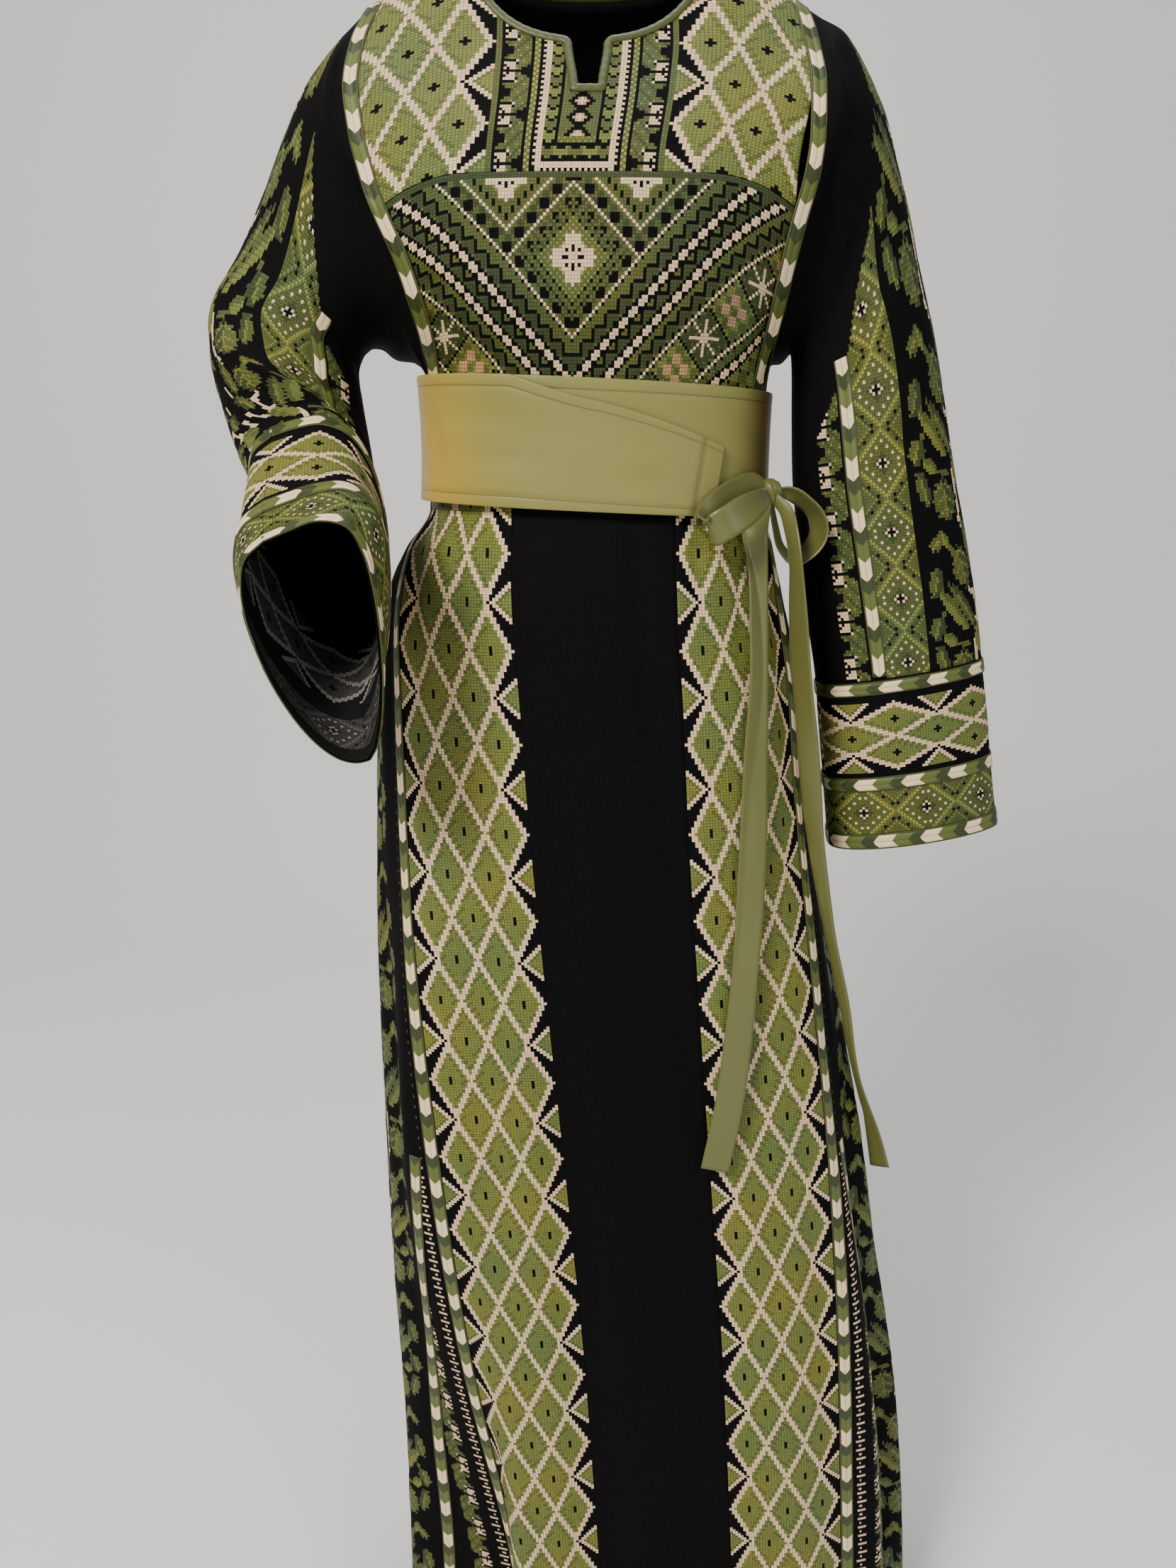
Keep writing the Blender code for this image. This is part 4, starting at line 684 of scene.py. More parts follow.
def skirt_ring(z):
    """The closed outline of the skirt at a height, and distances along it from the front centre."""
    x, y = oval(RING_SINES, RING_COSINES, z)
    shrink = 1 - fold_depth(RING_DEGREES, z) / np.hypot(x, y)
    points = np.stack([CENTRE(z) + x * shrink, y * shrink, np.full(x.shape, z)], axis=1)
    distances = lengths_of(points)
    return points, distances - distances[len(distances) // 2]


def skirt_row(distances, z):
    """Points of the skirt at distances round it from the front centre, at one height."""
    points, lengths = skirt_ring(z)
    whole = lengths[-1] - lengths[0]
    places = np.where(distances > lengths[-1], distances - whole, distances)
    return np.stack([np.interp(places, lengths, points[:, k]) for k in range(3)], axis=1)


def gore_reach(z):
    """Distances from the front centre to the two side seams at a height, right and left."""
    _, distances = skirt_ring(z)
    return [FRONT_HALF + GORE_SHARE * (half - FRONT_HALF) for half in (-distances[0], distances[-1])]


def second_braid(z):
    """How far the gore's own braid stands from the front panel's seam."""
    return GORE_BRAID_START + GORE_BRAID_SPREAD * np.maximum(GORE_BRAID_TOP - z, 0.0)


def neckline(x, drop):
    """Height of the neck's edge at x, for a neck that drops this far."""
    inside = np.clip(1 - (np.abs(x) / NECK_HALF) ** NECK_SQUARE, 0.0, 1.0)
    return np.where(np.abs(x) >= NECK_HALF, shoulder_height(x), -drop * inside ** (1 / NECK_SQUARE))


def yoke_seam(x):
    """Height of the seam under the yoke at x."""
    return YOKE_SEAM - YOKE_SEAM_BEND * np.maximum(np.abs(x) - YOKE_SEAM_FLAT, 0.0) ** 2


def slit_half(z):
    """Half width of the slit at a height."""
    return SLIT_HALF_TOP + (SLIT_HALF_BOTTOM - SLIT_HALF_TOP) * ease(-z, NECK_DROP, -SLIT_BOTTOM)


# ---------------------------------------------------------------- sleeves, as the part cuts them
YOKE_ROWS = (0.0, 0.05, 0.13, 0.30, 0.4685, 0.60, 0.73, 0.86, 1.0)
CHEST_ROWS = (0.2, 0.4, 0.6, 0.8, 1.0)
SIDES = {"r": -1, "l": 1}
SEAM = 0.0003
WAIST_STEPS = 3
SETTLED_RING = 4
BRAID_START = 6
BELT_CLEAR, ARMHOLE_EASE, FOOT_STEP = -0.296, 0.35, 0.0030
CLEAR_STEPS = (0.013, 0.019, 0.025, 0.030)


def armhole_heights(sign):
    """Heights of the part's rows down the edge of the front panel."""
    top, low = -SHOULDER_FALL, YOKE_SEAM
    for _ in range(12):
        top, low = shoulder_height(armhole_reach(sign, top)), yoke_seam(armhole_reach(sign, low))
    heights = [top + share * (low - top) for share in YOKE_ROWS]
    return np.array(heights + [low + share * (WAIST_SEAM - low) for share in CHEST_ROWS])


def waist_arc(sign, front, z, start_x):
    """Points round the body from an armhole's foot to the side, at one height."""
    power = SQUARE(z)
    half = RIGHT(z) if sign < 0 else LEFT(z)
    start = math.asin(min((abs(start_x - CENTRE(z)) / half) ** (power / 2), 1.0))
    angles = np.linspace(start, math.pi / 2, WAIST_STEPS + 1)
    cosine = np.maximum(np.cos(angles), 0.0)
    x, y = oval(sign * np.sin(angles), cosine if front else -cosine, z)
    return np.stack([CENTRE(z) + x, y, np.full(angles.shape, z)], axis=1)


def armhole_edge(sign, front):
    """The coarse edge of a sleeve, down the armhole and round to the side."""
    heights = armhole_heights(sign)
    edge = torso(sign * armhole_reach(sign, heights), heights, -1 if front else 1)
    return np.concatenate([edge, waist_arc(sign, front, WAIST_SEAM, edge[-1, 0])[1:]])


def ring_half(row, along_arm, handed, front):
    """Half of one sleeve ring, from its outer line to its inner line."""
    outer, inner = np.array(row[0:3]), np.array(row[3:6])
    tall = (outer - inner) / 2
    forward = unit(np.cross(tall, along_arm)) * handed
    bulge, lean, edge = (row[6], row[8], row[9]) if front else (-row[7], 1.0, 0.85)
    angles = np.linspace(0.0, math.pi, 49)[:, None]
    share = ((1 - np.cos(angles)) / 2) ** lean
    return outer - 2 * share * tall + np.maximum(np.sin(angles), 0.0) ** edge * bulge * forward


def sleeve_columns(points, shares, settled):
    """The part's columns on a ring, more and more at the bands of the embroidery."""
    total = lengths_of(points)[-1]
    scale = min(1.0, 0.80 * total / SLEEVE_BANDS[-1])
    bands = [distance * scale for distance in SLEEVE_BANDS]
    rest = len(shares) - len(bands)
    bands += [bands[-1] + (total - bands[-1]) * k / rest for k in range(1, rest + 1)]
    return along(points, (1 - settled) * shares * total + settled * np.array(bands))


def above_belt(edge, ring, sign, front):
    """The row that clears the belt, with its foot on the body just over it."""
    row = edge + ARMHOLE_EASE * (ring - edge)
    arc = waist_arc(sign, front, BELT_CLEAR, sign * (armhole_reach(sign, BELT_CLEAR) + FOOT_STEP))
    row[-len(arc):] = arc + np.array([sign * SEAM, 0.0, 0.0])
    return row


def clear_of_armhole(ring, edge, sign, step):
    """A ring moved out where it would fall inside the armhole."""
    ring = ring.copy()
    corner = len(edge) - 1 - WAIST_STEPS
    for j in range(corner):
        reach = sign * edge[j, 0] + step * math.sin(math.pi * (j + 0.6) / (corner + 0.6))
        ring[j, 0] = sign * max(sign * ring[j, 0], reach)
    return ring


def sleeve_halves(suffix, rows, cuff_rows):
    """The part's coarse grids of a sleeve and cuff, front and back, and the row of the cuff's seam."""
    sign = SIDES[suffix]
    handed = 1 if sign < 0 else -1
    table = rows + cuff_rows[1:]
    centres = np.array([[(row[k] + row[k + 3]) / 2 for k in range(3)] for row in table])
    directions = unit(np.gradient(centres, axis=0))
    last = len(rows) - 1
    mixed = np.hstack([np.array(cuff_rows), directions[last:]])
    keys = np.linspace(0.0, 1.0, len(cuff_rows))
    finer = np.array([[np.interp(share, keys, column) for column in mixed.T] for share in CUFF_SHARES])
    rings = [np.array(row) for row in rows] + [row[:10] for row in finer[1:]]
    ways = list(directions[:len(rows)]) + list(unit(finer[1:, 10:]))
    halves = {}
    for front in (True, False):
        edge = armhole_edge(sign, front)
        shares = lengths_of(edge)
        shares = shares / shares[-1]
        made = [sleeve_columns(ring_half(row, way, handed, front), shares, ease(k, 0, SETTLED_RING))
                for k, (row, way) in enumerate(zip(rings, ways))]
        for k, step in enumerate(CLEAR_STEPS):
            made[k] = clear_of_armhole(made[k], edge, sign, step)
        halves[front] = np.array([edge, above_belt(edge, made[0], sign, front)] + made)
    return halves, len(rows) + 1


# ---------------------------------------------------------------- materials
class Look:
    """A material and short calls for the nodes that it is made of."""

    def __init__(self, name):
        self.material = bpy.data.materials.new(name)
        self.material.use_nodes = True
        self.tree = self.material.node_tree
        self.surface = self.tree.nodes["Principled BSDF"]

    def plug(self, node, inputs):
        """Give each named or numbered input its value, or link it to an output."""
        for socket, value in inputs.items():
            if isinstance(value, bpy.types.NodeSocket):
                self.tree.links.new(value, node.inputs[socket])
            else:
                node.inputs[socket].default_value = value

    def add(self, kind, inputs, **settings):
        """A node of a kind with its settings and inputs; gives its outputs."""
        node = self.tree.nodes.new("ShaderNode" + kind)
        for key, value in settings.items():
            setattr(node, key, value)
        self.plug(node, inputs)
        return node.outputs

    def math(self, operation, *values, clamp=False):
        """The result of one sum."""
        return self.add("Math", dict(enumerate(values)), operation=operation, use_clamp=clamp)[0]

    def between(self, a, b):
        """How far two values stand apart."""
        return self.math("ABSOLUTE", self.math("SUBTRACT", a, b))

    def mix(self, share, a, b, blend="MIX"):
        """Two colours blended by a share."""
        inputs = {"Factor": share, "A": a, "B": b}
        return self.add("Mix", inputs, data_type="RGBA", blend_type=blend)["Result"]

    def bump(self, height, strength, distance):
        """Fine relief on the surface."""
        inputs = {"Height": height, "Strength": strength, "Distance": distance}
        self.plug(self.surface, {"Normal": self.add("Bump", inputs)[0]})


def stitched_material(name, relief):
    """Black crepe worked with cross-stitch; the thread's colour is on the cells of the mesh."""
    look = Look(name)
    thread = look.add("Attribute", {}, attribute_name="thread")
    place = look.add("UVMap", {}, uv_map="stitch")["UV"]
    across, down = look.add("SeparateXYZ", {0: place})[:2]
    u, v = look.math("FRACT", across), look.math("FRACT", down)
    # the two threads of a cross run from corner to corner and stand over the cloth
    near = look.math("MINIMUM", look.between(u, v), look.between(look.math("ADD", u, v), 1.0))
    height = look.math("SUBTRACT", 1.0, look.math("MULTIPLY", near, 2.4), clamp=True)
    shade = look.math("ADD", look.math("MULTIPLY", height, 0.42), 0.66)
    # round each cross the cloth shows through as a thin dark groove
    farthest = look.math("MAXIMUM", look.between(u, 0.5), look.between(v, 0.5))
    groove = look.math("MULTIPLY", look.math("SUBTRACT", farthest, 0.34), 6.2, clamp=True)
    shade = look.math("MULTIPLY", shade, look.math("SUBTRACT", 1.0, look.math("MULTIPLY", groove, 0.74)))
    grey = look.add("CombineColor", {0: shade, 1: shade, 2: shade})[0]
    stitched = thread["Alpha"]
    weave = look.add("TexNoise", {"Scale": 1.6, "Detail": 4.0, "Vector": place})[0]
    look.plug(look.surface, {
        "Base Color": look.mix(1.0, thread["Color"], grey, "MULTIPLY"),
        "Roughness": look.math("SUBTRACT", 0.82, look.math("MULTIPLY", stitched, 0.24)),
        "Specular IOR Level": look.math("ADD", look.math("MULTIPLY", stitched, 0.20), 0.07),
    })
    raised = look.math("ADD", look.math("MULTIPLY", height, stitched), look.math("MULTIPLY", weave, 0.35))
    look.bump(raised, relief, 0.0007)
    return look.material


CHEVRON_BANDS = ((0.0, (0.86, 0.66, 0.40)), (0.385, (0.028, 0.042, 0.006)), (0.65, (0.096, 0.120, 0.020)))
THREADS_PER_CHEVRON = 60


def braid_material():
    """Satin stitch in chevrons of cream, dark and light green, with a cord along each edge."""
    look = Look("braid_satin_look")
    place = look.add("UVMap", {}, uv_map="braid")["UV"]
    across, along_braid = look.add("SeparateXYZ", {0: place})[:2]
    u = look.between(across, 0.5)
    slanted = look.math("ADD", along_braid, look.math("MULTIPLY", u, 0.30))
    drift = look.math("MULTIPLY", look.add("TexNoise", {"Scale": 2.3, "Vector": place})[0], 0.10)
    ramp = look.tree.nodes.new("ShaderNodeValToRGB")
    ramp.color_ramp.interpolation = "CONSTANT"
    for k, (start, colour) in enumerate(CHEVRON_BANDS):
        element = ramp.color_ramp.elements[k] if k < 2 else ramp.color_ramp.elements.new(start)
        element.position = start
        element.color = (*colour, 1.0)
    look.plug(ramp, {0: look.math("FRACT", look.math("ADD", slanted, drift))})
    colour = ramp.outputs[0]
    cord = look.math("GREATER_THAN", u, 0.405)
    groove = look.math("LESS_THAN", look.between(u, 0.395), 0.014)
    middle = look.math("LESS_THAN", u, 0.022)
    for mask, shade, share in ((cord, (0.050, 0.057, 0.012), 1.0), (groove, (0.012, 0.014, 0.006), 0.9),
                               (middle, (0.04, 0.04, 0.015), 0.6)):
        colour = look.mix(look.math("MULTIPLY", mask, share), colour, (*shade, 1.0))
    look.plug(look.surface, {"Base Color": colour, "Roughness": 0.42, "Specular IOR Level": 0.38,
                             "Anisotropic": 0.4})
    threads = look.math("SINE", look.math("MULTIPLY", slanted, 6.2832 * THREADS_PER_CHEVRON))
    look.bump(threads, 0.35, 0.0002)
    return look.material


def satin_material(name, colour, rough, weave_scale, attribute=None):
    """Plain satin: a soft sheen and a very fine weave; its colour may be on the points of the mesh, where the
    belt's also carries painted highlight and shade.
    """
    look = Look(name)
    if attribute:
        colour = look.add("Attribute", {}, attribute_name=attribute)["Color"]
    else:
        colour = (*colour, 1.0)
    look.plug(look.surface, {"Base Color": colour, "Roughness": rough, "Specular IOR Level": 0.42,
                             "Sheen Weight": 0.08, "Sheen Roughness": 0.35})
    place = look.add("TexCoord", {})["Object"]
    look.bump(look.add("TexNoise", {"Scale": weave_scale, "Detail": 3.0, "Vector": place})[0], 0.12, 0.0006)
    return look.material


STITCHED = stitched_material("stitched_cloth", 0.55)
REVERSE = stitched_material("stitched_reverse", 0.45)
BRAID_SATIN = braid_material()
# the belt's colour, with its painted highlight and painted shade, comes from the points of its mesh
BELT_SATIN = satin_material("belt_satin_look", None, 0.46, 900.0, "tint_and_painted_light")
TIE_SATIN = satin_material("tie_satin_look", (0.108, 0.112, 0.030), 0.36, 700.0)
BINDING_SATIN = satin_material("binding_look", (0.054, 0.066, 0.014), 0.46, 1200.0)


# ---------------------------------------------------------------- making pieces
def add_mesh(name, vertices, faces, *materials):
    """A smooth mesh in the scene."""
    mesh = bpy.data.meshes.new(name)
    mesh.from_pydata(np.asarray(vertices).tolist(), [], [[int(k) for k in face] for face in faces])
    for material in materials:
        mesh.materials.append(material)
    mesh.shade_smooth()
    thing = bpy.data.objects.new(name, mesh)
    bpy.context.scene.collection.objects.link(thing)
    return thing


def stand_for(thing, node):
    """Put a mesh on the frame's body, in place of its node of the part."""
    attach(thing, "root")
    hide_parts(node)


def quads(index):
    """The four-sided faces between neighbouring rows and columns of vertex numbers."""
    corners = (index[:-1, :-1], index[1:, :-1], index[1:, 1:], index[:-1, 1:])
    return np.stack(corners, axis=-1).reshape(-1, 4).tolist()


def tube(rows, columns):
    """Faces of a tube through closed rings of points, without its ends, and then its two end caps."""
    index = np.arange(rows * columns).reshape(rows, columns)
    return quads(np.hstack([index, index[:, :1]])), [index[0].tolist(), index[-1, ::-1].tolist()]


def thinned(count, step):
    """Every step-th number below count, and the last one."""
    kept = list(range(0, count, step))
    return kept if kept[-1] == count - 1 else kept + [count - 1]


def cloth(name, points, normals, u, v, codes, node, keep=None, inner_step=4, inner_codes=None):
    """A closed thin cloth: outer cells are stitches, and its inner wall is plain or reversed work."""
    rows, columns = points.shape[:2]
    plain_edge = keep is None and inner_codes is None
    kept = np.ones((rows - 1, columns - 1), bool) if keep is None else keep
    flags = np.zeros((rows + 1, columns + 1))
    flags[1:-1, 1:-1] = codes > 0
    outer = points + normals * (middles(flags) * STITCH_RELIEF)[..., None]
    step = inner_step if plain_edge else 1
    in_rows, in_columns = thinned(rows, step), thinned(columns, step)
    inner = (points - normals * CLOTH)[np.ix_(in_rows, in_columns)]
    index = np.arange(rows * columns).reshape(rows, columns)
    inner_index = index.size + np.arange(len(in_rows) * len(in_columns)).reshape(len(in_rows), -1)
    flip = faces_inward(points, normals)
    shades = PALETTE[codes] * (1 + SHADE_RANGE * (GENERATOR.random(kept.shape) - 0.5))[..., None]
    # variegated thread: its green drifts between a bluer and a yellower one over some centimetres
    x, z = points[:-1, :-1, 0], points[:-1, :-1, 2]
    drift = (np.sin(41 * x + 23 * z) + np.sin(67 * z - 31 * x + 1.3)) / 2
    green = ((codes != BARE) & (codes != CREAM))[..., None]
    shades = np.where(green, shades * (1 + drift[..., None] * THREAD_DRIFT), shades)
    bare = (*PALETTE[BARE], 0.0)
    faces, colours, places, materials = [], [], [], []

    def add(face, colour, at, reverse, material=0):
        """One face, with its colour and the grid places that its corners stand over."""
        order = -1 if reverse else 1
        faces.append(face[::order])
        colours.append(colour)
        places.extend(at[::order])
        materials.append(material)

    def square(i, j):
        return [(i, j), (i + 1, j), (i + 1, j + 1), (i, j + 1)]

    def rim(line, far, near, reverse):
        """One face of the rim, from a run of the outer edge to two points of the inner wall."""
        add([index[p] for p in line] + [far, near], bare, line + [line[-1], line[0]], reverse)

    for i, j in zip(*np.nonzero(kept)):
        corners = square(i, j)
        add([index[c] for c in corners], (*shades[i, j], float(codes[i, j] > 0)), corners, flip)
    wall = np.ones((len(in_rows) - 1, len(in_columns) - 1), bool) if plain_edge else kept
    for a, b in zip(*np.nonzero(wall)):
        colour, material = bare, 0
        if inner_codes is not None:
            grey = PALETTE[inner_codes[a, b]].mean() * REVERSE_SHARE + REVERSE_LEAST
            colour = (grey * 1.02, grey, grey * 0.93, float(inner_codes[a, b] > 0))
            material = 1
        corners = square(a, b)
        add([inner_index[c] for c in corners], colour, [(in_rows[p], in_columns[q]) for p, q in corners],
            not flip, material)
    if plain_edge:
        last_a, last_b = wall.shape
        for b in range(last_b):
            span = range(in_columns[b], in_columns[b + 1] + 1)
            for row, a in ((0, 0), (rows - 1, last_a)):
                rim([(row, k) for k in span], inner_index[a, b + 1], inner_index[a, b], (a > 0) != flip)
        for a in range(last_a):
            span = range(in_rows[a], in_rows[a + 1] + 1)
            for column, b in ((0, 0), (columns - 1, last_b)):
                rim([(k, column) for k in span], inner_index[a + 1, b], inner_index[a, b], (b == 0) != flip)
    else:
        edges = {}
        for i, j in zip(*np.nonzero(kept)):
            corners = square(i, j)
            for start, end in zip(corners, corners[1:] + corners[:1]):
                # an edge that two kept cells share is met once in each direction
                if not edges.pop((end, start), False):
                    edges[(start, end)] = True
        for start, end in edges:
            rim([end, start], inner_index[start], inner_index[end], flip)
    vertices = np.concatenate([outer.reshape(-1, 3), inner.reshape(-1, 3)])
    thing = add_mesh(name, vertices, faces, STITCHED, REVERSE)
    mesh = thing.data
    sizes = [len(face) for face in faces]
    thread = mesh.color_attributes.new("thread", "FLOAT_COLOR", "CORNER")
    thread.data.foreach_set("color", np.repeat(np.array(colours), sizes, axis=0).ravel())
    at_rows, at_columns = np.array(places).T
    uv = np.stack([u[at_rows, at_columns], v[at_rows, at_columns]], axis=1)
    mesh.uv_layers.new(name="stitch").data.foreach_set("uv", uv.ravel())
    mesh.polygons.foreach_set("material_index", np.array(materials))
    stand_for(thing, node)


def slab(name, points, normals, thickness, material, node, tint_and_painted_light=None):
    """A closed sheet of even thickness from a grid of outer points."""
    outer = np.arange(points[..., 0].size).reshape(points.shape[:2])
    back = outer + outer.size
    faces = quads(outer) + quads(back.T)
    for pair in ((outer[:, 0], back[:, 0]), (back[:, -1], outer[:, -1]), (back[0], outer[0]),
                 (outer[-1], back[-1])):
        faces += quads(np.stack(pair))
    if faces_inward(points, normals):
        faces = [face[::-1] for face in faces]
    vertices = np.concatenate([points.reshape(-1, 3), (points - normals * thickness).reshape(-1, 3)])
    thing = add_mesh(name, vertices, faces, material)
    # the colour on the points holds the belt's painted highlight and painted shade as well as its own colour
    if tint_and_painted_light is not None:
        colours = np.concatenate([tint_and_painted_light.reshape(-1, 3)] * 2)
        layer = thing.data.color_attributes.new("tint_and_painted_light", "FLOAT_COLOR", "POINT")
        layer.data.foreach_set("color", np.hstack([colours, np.ones((len(colours), 1))]).ravel())
    stand_for(thing, node)


# ---------------------------------------------------------------- braids
BRAID_PROFILE = [
    # share across, height over the cloth in mm: an edge cord, the satin's two swells, the other cord
    (0.0, 0.05), (0.0, 0.25), (0.02, 0.85), (0.055, 1.05), (0.095, 0.80), (0.13, 1.05), (0.26, 1.40),
    (0.42, 1.42), (0.5, 1.15), (0.58, 1.42), (0.74, 1.40), (0.87, 1.05), (0.905, 0.80), (0.945, 1.05),
    (0.98, 0.85), (1.0, 0.25), (1.0, 0.05),
]
CHEVRON = 0.038           # length of one chevron's three colours along a braid


def braid(node, left, right, normals, phase=0.0):
    """A satin-stitched braid between two lines on the cloth."""
    across, height = np.array(BRAID_PROFILE).T
    width = right - left
    rows = left[:, None] + width[:, None] * across[:, None]
    rows = rows + normals[:, None] * (height / 1000)[:, None]
    sides, ends = tube(*rows.shape[:2])
    faces = sides + ends
    if np.sum(np.cross(np.gradient(left, axis=0), unit(width)) * normals) < 0:
        faces = [face[::-1] for face in faces]
    thing = add_mesh(node + "_satin", rows.reshape(-1, 3), faces, BRAID_SATIN)
    lengths = lengths_of((left + right) / 2) / CHEVRON + phase
    uv = np.stack(np.broadcast_arrays(across, lengths[:, None]), axis=-1).reshape(-1, 2)
    corners = [k for face in faces for k in face]
    thing.data.uv_layers.new(name="braid").data.foreach_set("uv", uv[corners].ravel())
    stand_for(thing, node)


# ---------------------------------------------------------------- bodice
AXIS = [
    # z,     x of the embroidery's axis, width of a stitch in mm
    (0.0, 0.0, 2.24), (-0.085, 0.0, 2.24), (-0.120, -0.0025, 2.20), (-0.180, -0.0092, 2.12),
    (-0.235, -0.0100, 2.10), (-0.280, -0.0110, 2.05), (-0.330, -0.0110, 1.95),
]
AXIS_X, AXIS_WIDTH = curve(AXIS, 1), curve(AXIS, 2)
CHEST_CREASES = [
    # x, z -> x, z, width, depth
    (-0.150, -0.215, -0.085, -0.262, 0.010, 0.0028), (-0.140, -0.250, -0.070, -0.292, 0.009, 0.0030),
    (-0.118, -0.285, -0.060, -0.300, 0.007, 0.0018), (0.150, -0.205, 0.110, -0.265, 0.010, 0.0026),
    (0.138, -0.245, 0.118, -0.300, 0.007, 0.0030), (0.120, -0.262, 0.060, -0.303, 0.010, 0.0016),
    (-0.030, -0.262, -0.010, -0.312, 0.012, 0.0012), (0.040, -0.275, 0.030, -0.312, 0.010, -0.0012),
    (-0.128, -0.232, -0.080, -0.240, 0.008, -0.0018), (0.128, -0.228, 0.100, -0.300, 0.008, -0.0020),
]
YOKE_CREASES = [
    (-0.140, -0.075, -0.095, -0.150, 0.014, 0.0016), (0.140, -0.070, 0.105, -0.150, 0.014, 0.0016),
    (-0.100, -0.035, -0.060, -0.110, 0.012, -0.0010), (0.105, -0.040, 0.060, -0.120, 0.012, -0.0012),
    (-0.150, -0.130, -0.100, -0.172, 0.010, 0.0016), (0.150, -0.135, 0.120, -0.175, 0.010, 0.0018),
]


WIDER_FROM = 30.5         # the yoke's side lattices start here, and their stitches are wider
CHEST_ROW = 0.00217       # height of the chest's stitches
TALLER_FROM, TALLER = 24, 0.115  # below this row they are worked taller, by this share
PANEL_LINES = {True: np.arange(-72, 74), False: np.arange(-64, 66)}


def front_columns(down):
    """Dense lines of the front, one for each edge between stitches, from the seam up or down."""
    z = np.arange(-0.150, WAIST_SEAM - 0.0001, -0.0004) if down else np.arange(-0.240, 0.0, 0.0004)
    lines = []
    for k in PANEL_LINES[down]:
        place = k - 0.5
        if not down:
            wider = 0.36 * max(abs(place) - WIDER_FROM, 0.0)
            place = math.copysign(0.91 * abs(place) + wider, place)
        x = AXIS_X(z) + place * AXIS_WIDTH(z) / 1000
        if down:
            inside = z <= yoke_seam(x)
        else:
            found = np.flatnonzero((z >= yoke_seam(x)) & (z <= neckline(x, NECK_DROP)))
            inside = slice(found[0], found[-1] + 1)
        lines.append((x[inside], z[inside]))
    return lines


def front_panel(down, row_height, creases):
    """Grid of the yoke or chest panel, with its stitch numbers and which cells are cloth."""
    flats = []
    for x, z in front_columns(down):
        reach = armhole_reach(x, z)
        points = torso(np.clip(x, -reach, reach), z, -1)
        flats.append((points, lengths_of(points), x))
    count = int(math.ceil(max(lengths[-1] for _, lengths, _ in flats) / row_height))
    rows = np.arange(count + 1) * row_height
    if down:
        rows = rows + TALLER * np.maximum(rows - TALLER_FROM * row_height, 0.0)
    grid = np.zeros((count + 1, len(flats), 3))
    raw_x, beyond = np.zeros(grid.shape[:2]), np.zeros(grid.shape[:2])
    for k, (points, lengths, x) in enumerate(flats):
        at = np.minimum(rows, lengths[-1])
        grid[:, k] = along(points, at)
        raw_x[:, k] = np.interp(at, lengths, x)
        beyond[:, k] = rows > lengths[-1] + 0.0001
    u = np.broadcast_to(PANEL_LINES[down].astype(float), grid.shape[:2])
    v = np.broadcast_to(np.arange(count + 1, dtype=float)[:, None], grid.shape[:2])
    x, z = middles(raw_x), middles(grid[..., 2])
    # a cell past the end of its lines is gone: three of its corners, or both of its first ones
    gone = (middles(beyond) >= 0.75) | ((beyond[:-1, :-1] > 0) & (beyond[:-1, 1:] > 0))
    keep = (np.abs(x) < armhole_reach(x, z)) & ~gone
    if not down:
        keep &= ~((np.abs(x) < slit_half(z)) & (z > SLIT_BOTTOM))
        keep &= ~((np.abs(x) < NECK_HALF) & (z > neckline(x, NECK_DROP)))
    normals = normals_of(grid, np.array([0.0, 0.02, -0.15]))
    grid = dents(grid, normals, grid[..., 0], grid[..., 2], creases)
    return grid, normals, u, v, keep


def make_front(name, node, down, row_height, creases, pattern):
    """The yoke or the chest panel, with its pattern."""
    grid, normals, u, v, keep = front_panel(down, row_height, creases)
    cloth(name, grid, normals, u, v, pattern(*stitch_numbers(u, v)), node, keep=keep)


make_front("yoke_cloth", "yoke_front", False, STITCH_ROW, YOKE_CREASES, yoke_pattern)
make_front("chest_cloth", "chest_panel", True, CHEST_ROW, CHEST_CREASES, chest_pattern)


BACK_CREASES = [
    (-0.140, -0.120, -0.030, -0.170, 0.014, 0.0022), (0.135, -0.110, 0.020, -0.175, 0.015, 0.0020),
    (-0.120, -0.215, -0.020, -0.285, 0.012, 0.0026), (0.118, -0.220, 0.030, -0.290, 0.012, 0.0024),
    (-0.020, -0.060, -0.015, -0.150, 0.016, -0.0012), (0.060, -0.235, 0.050, -0.310, 0.008, 0.0018),
    (-0.070, -0.245, -0.065, -0.312, 0.008, 0.0020),
]


def unstitched(grid):
    """The codes of a cloth without embroidery, one for each cell of its grid."""
    return np.full((grid.shape[0] - 1, grid.shape[1] - 1), BARE)


def make_back():
    """The plain back of the bodice."""
    shares = np.concatenate([np.linspace(-1, -0.602, 13), np.linspace(-0.600, 0.600, 37),
                             np.linspace(0.602, 1, 13)])
    z = np.linspace(0.0, WAIST_SEAM, 1200)
    grid = []
    for share in shares:
        x = share * armhole_reach(share, z)
        inside = z <= neckline(x, NECK_DROP_BACK)
        line = torso(x[inside], z[inside], 1)
        grid.append(along(line, np.linspace(0, lengths_of(line)[-1], 90)))
    grid = np.array(grid).transpose(1, 0, 2)
    normals = normals_of(grid, np.array([0.0, -0.02, -0.15]))
    grid = dents(grid, normals, grid[..., 0], grid[..., 2], BACK_CREASES)
    u, v = grid[..., 0] / STITCH, -grid[..., 2] / STITCH_ROW
    cloth("bodice_back_cloth", grid, normals, u, v, unstitched(grid), "bodice_back", inner_step=2)


make_back()


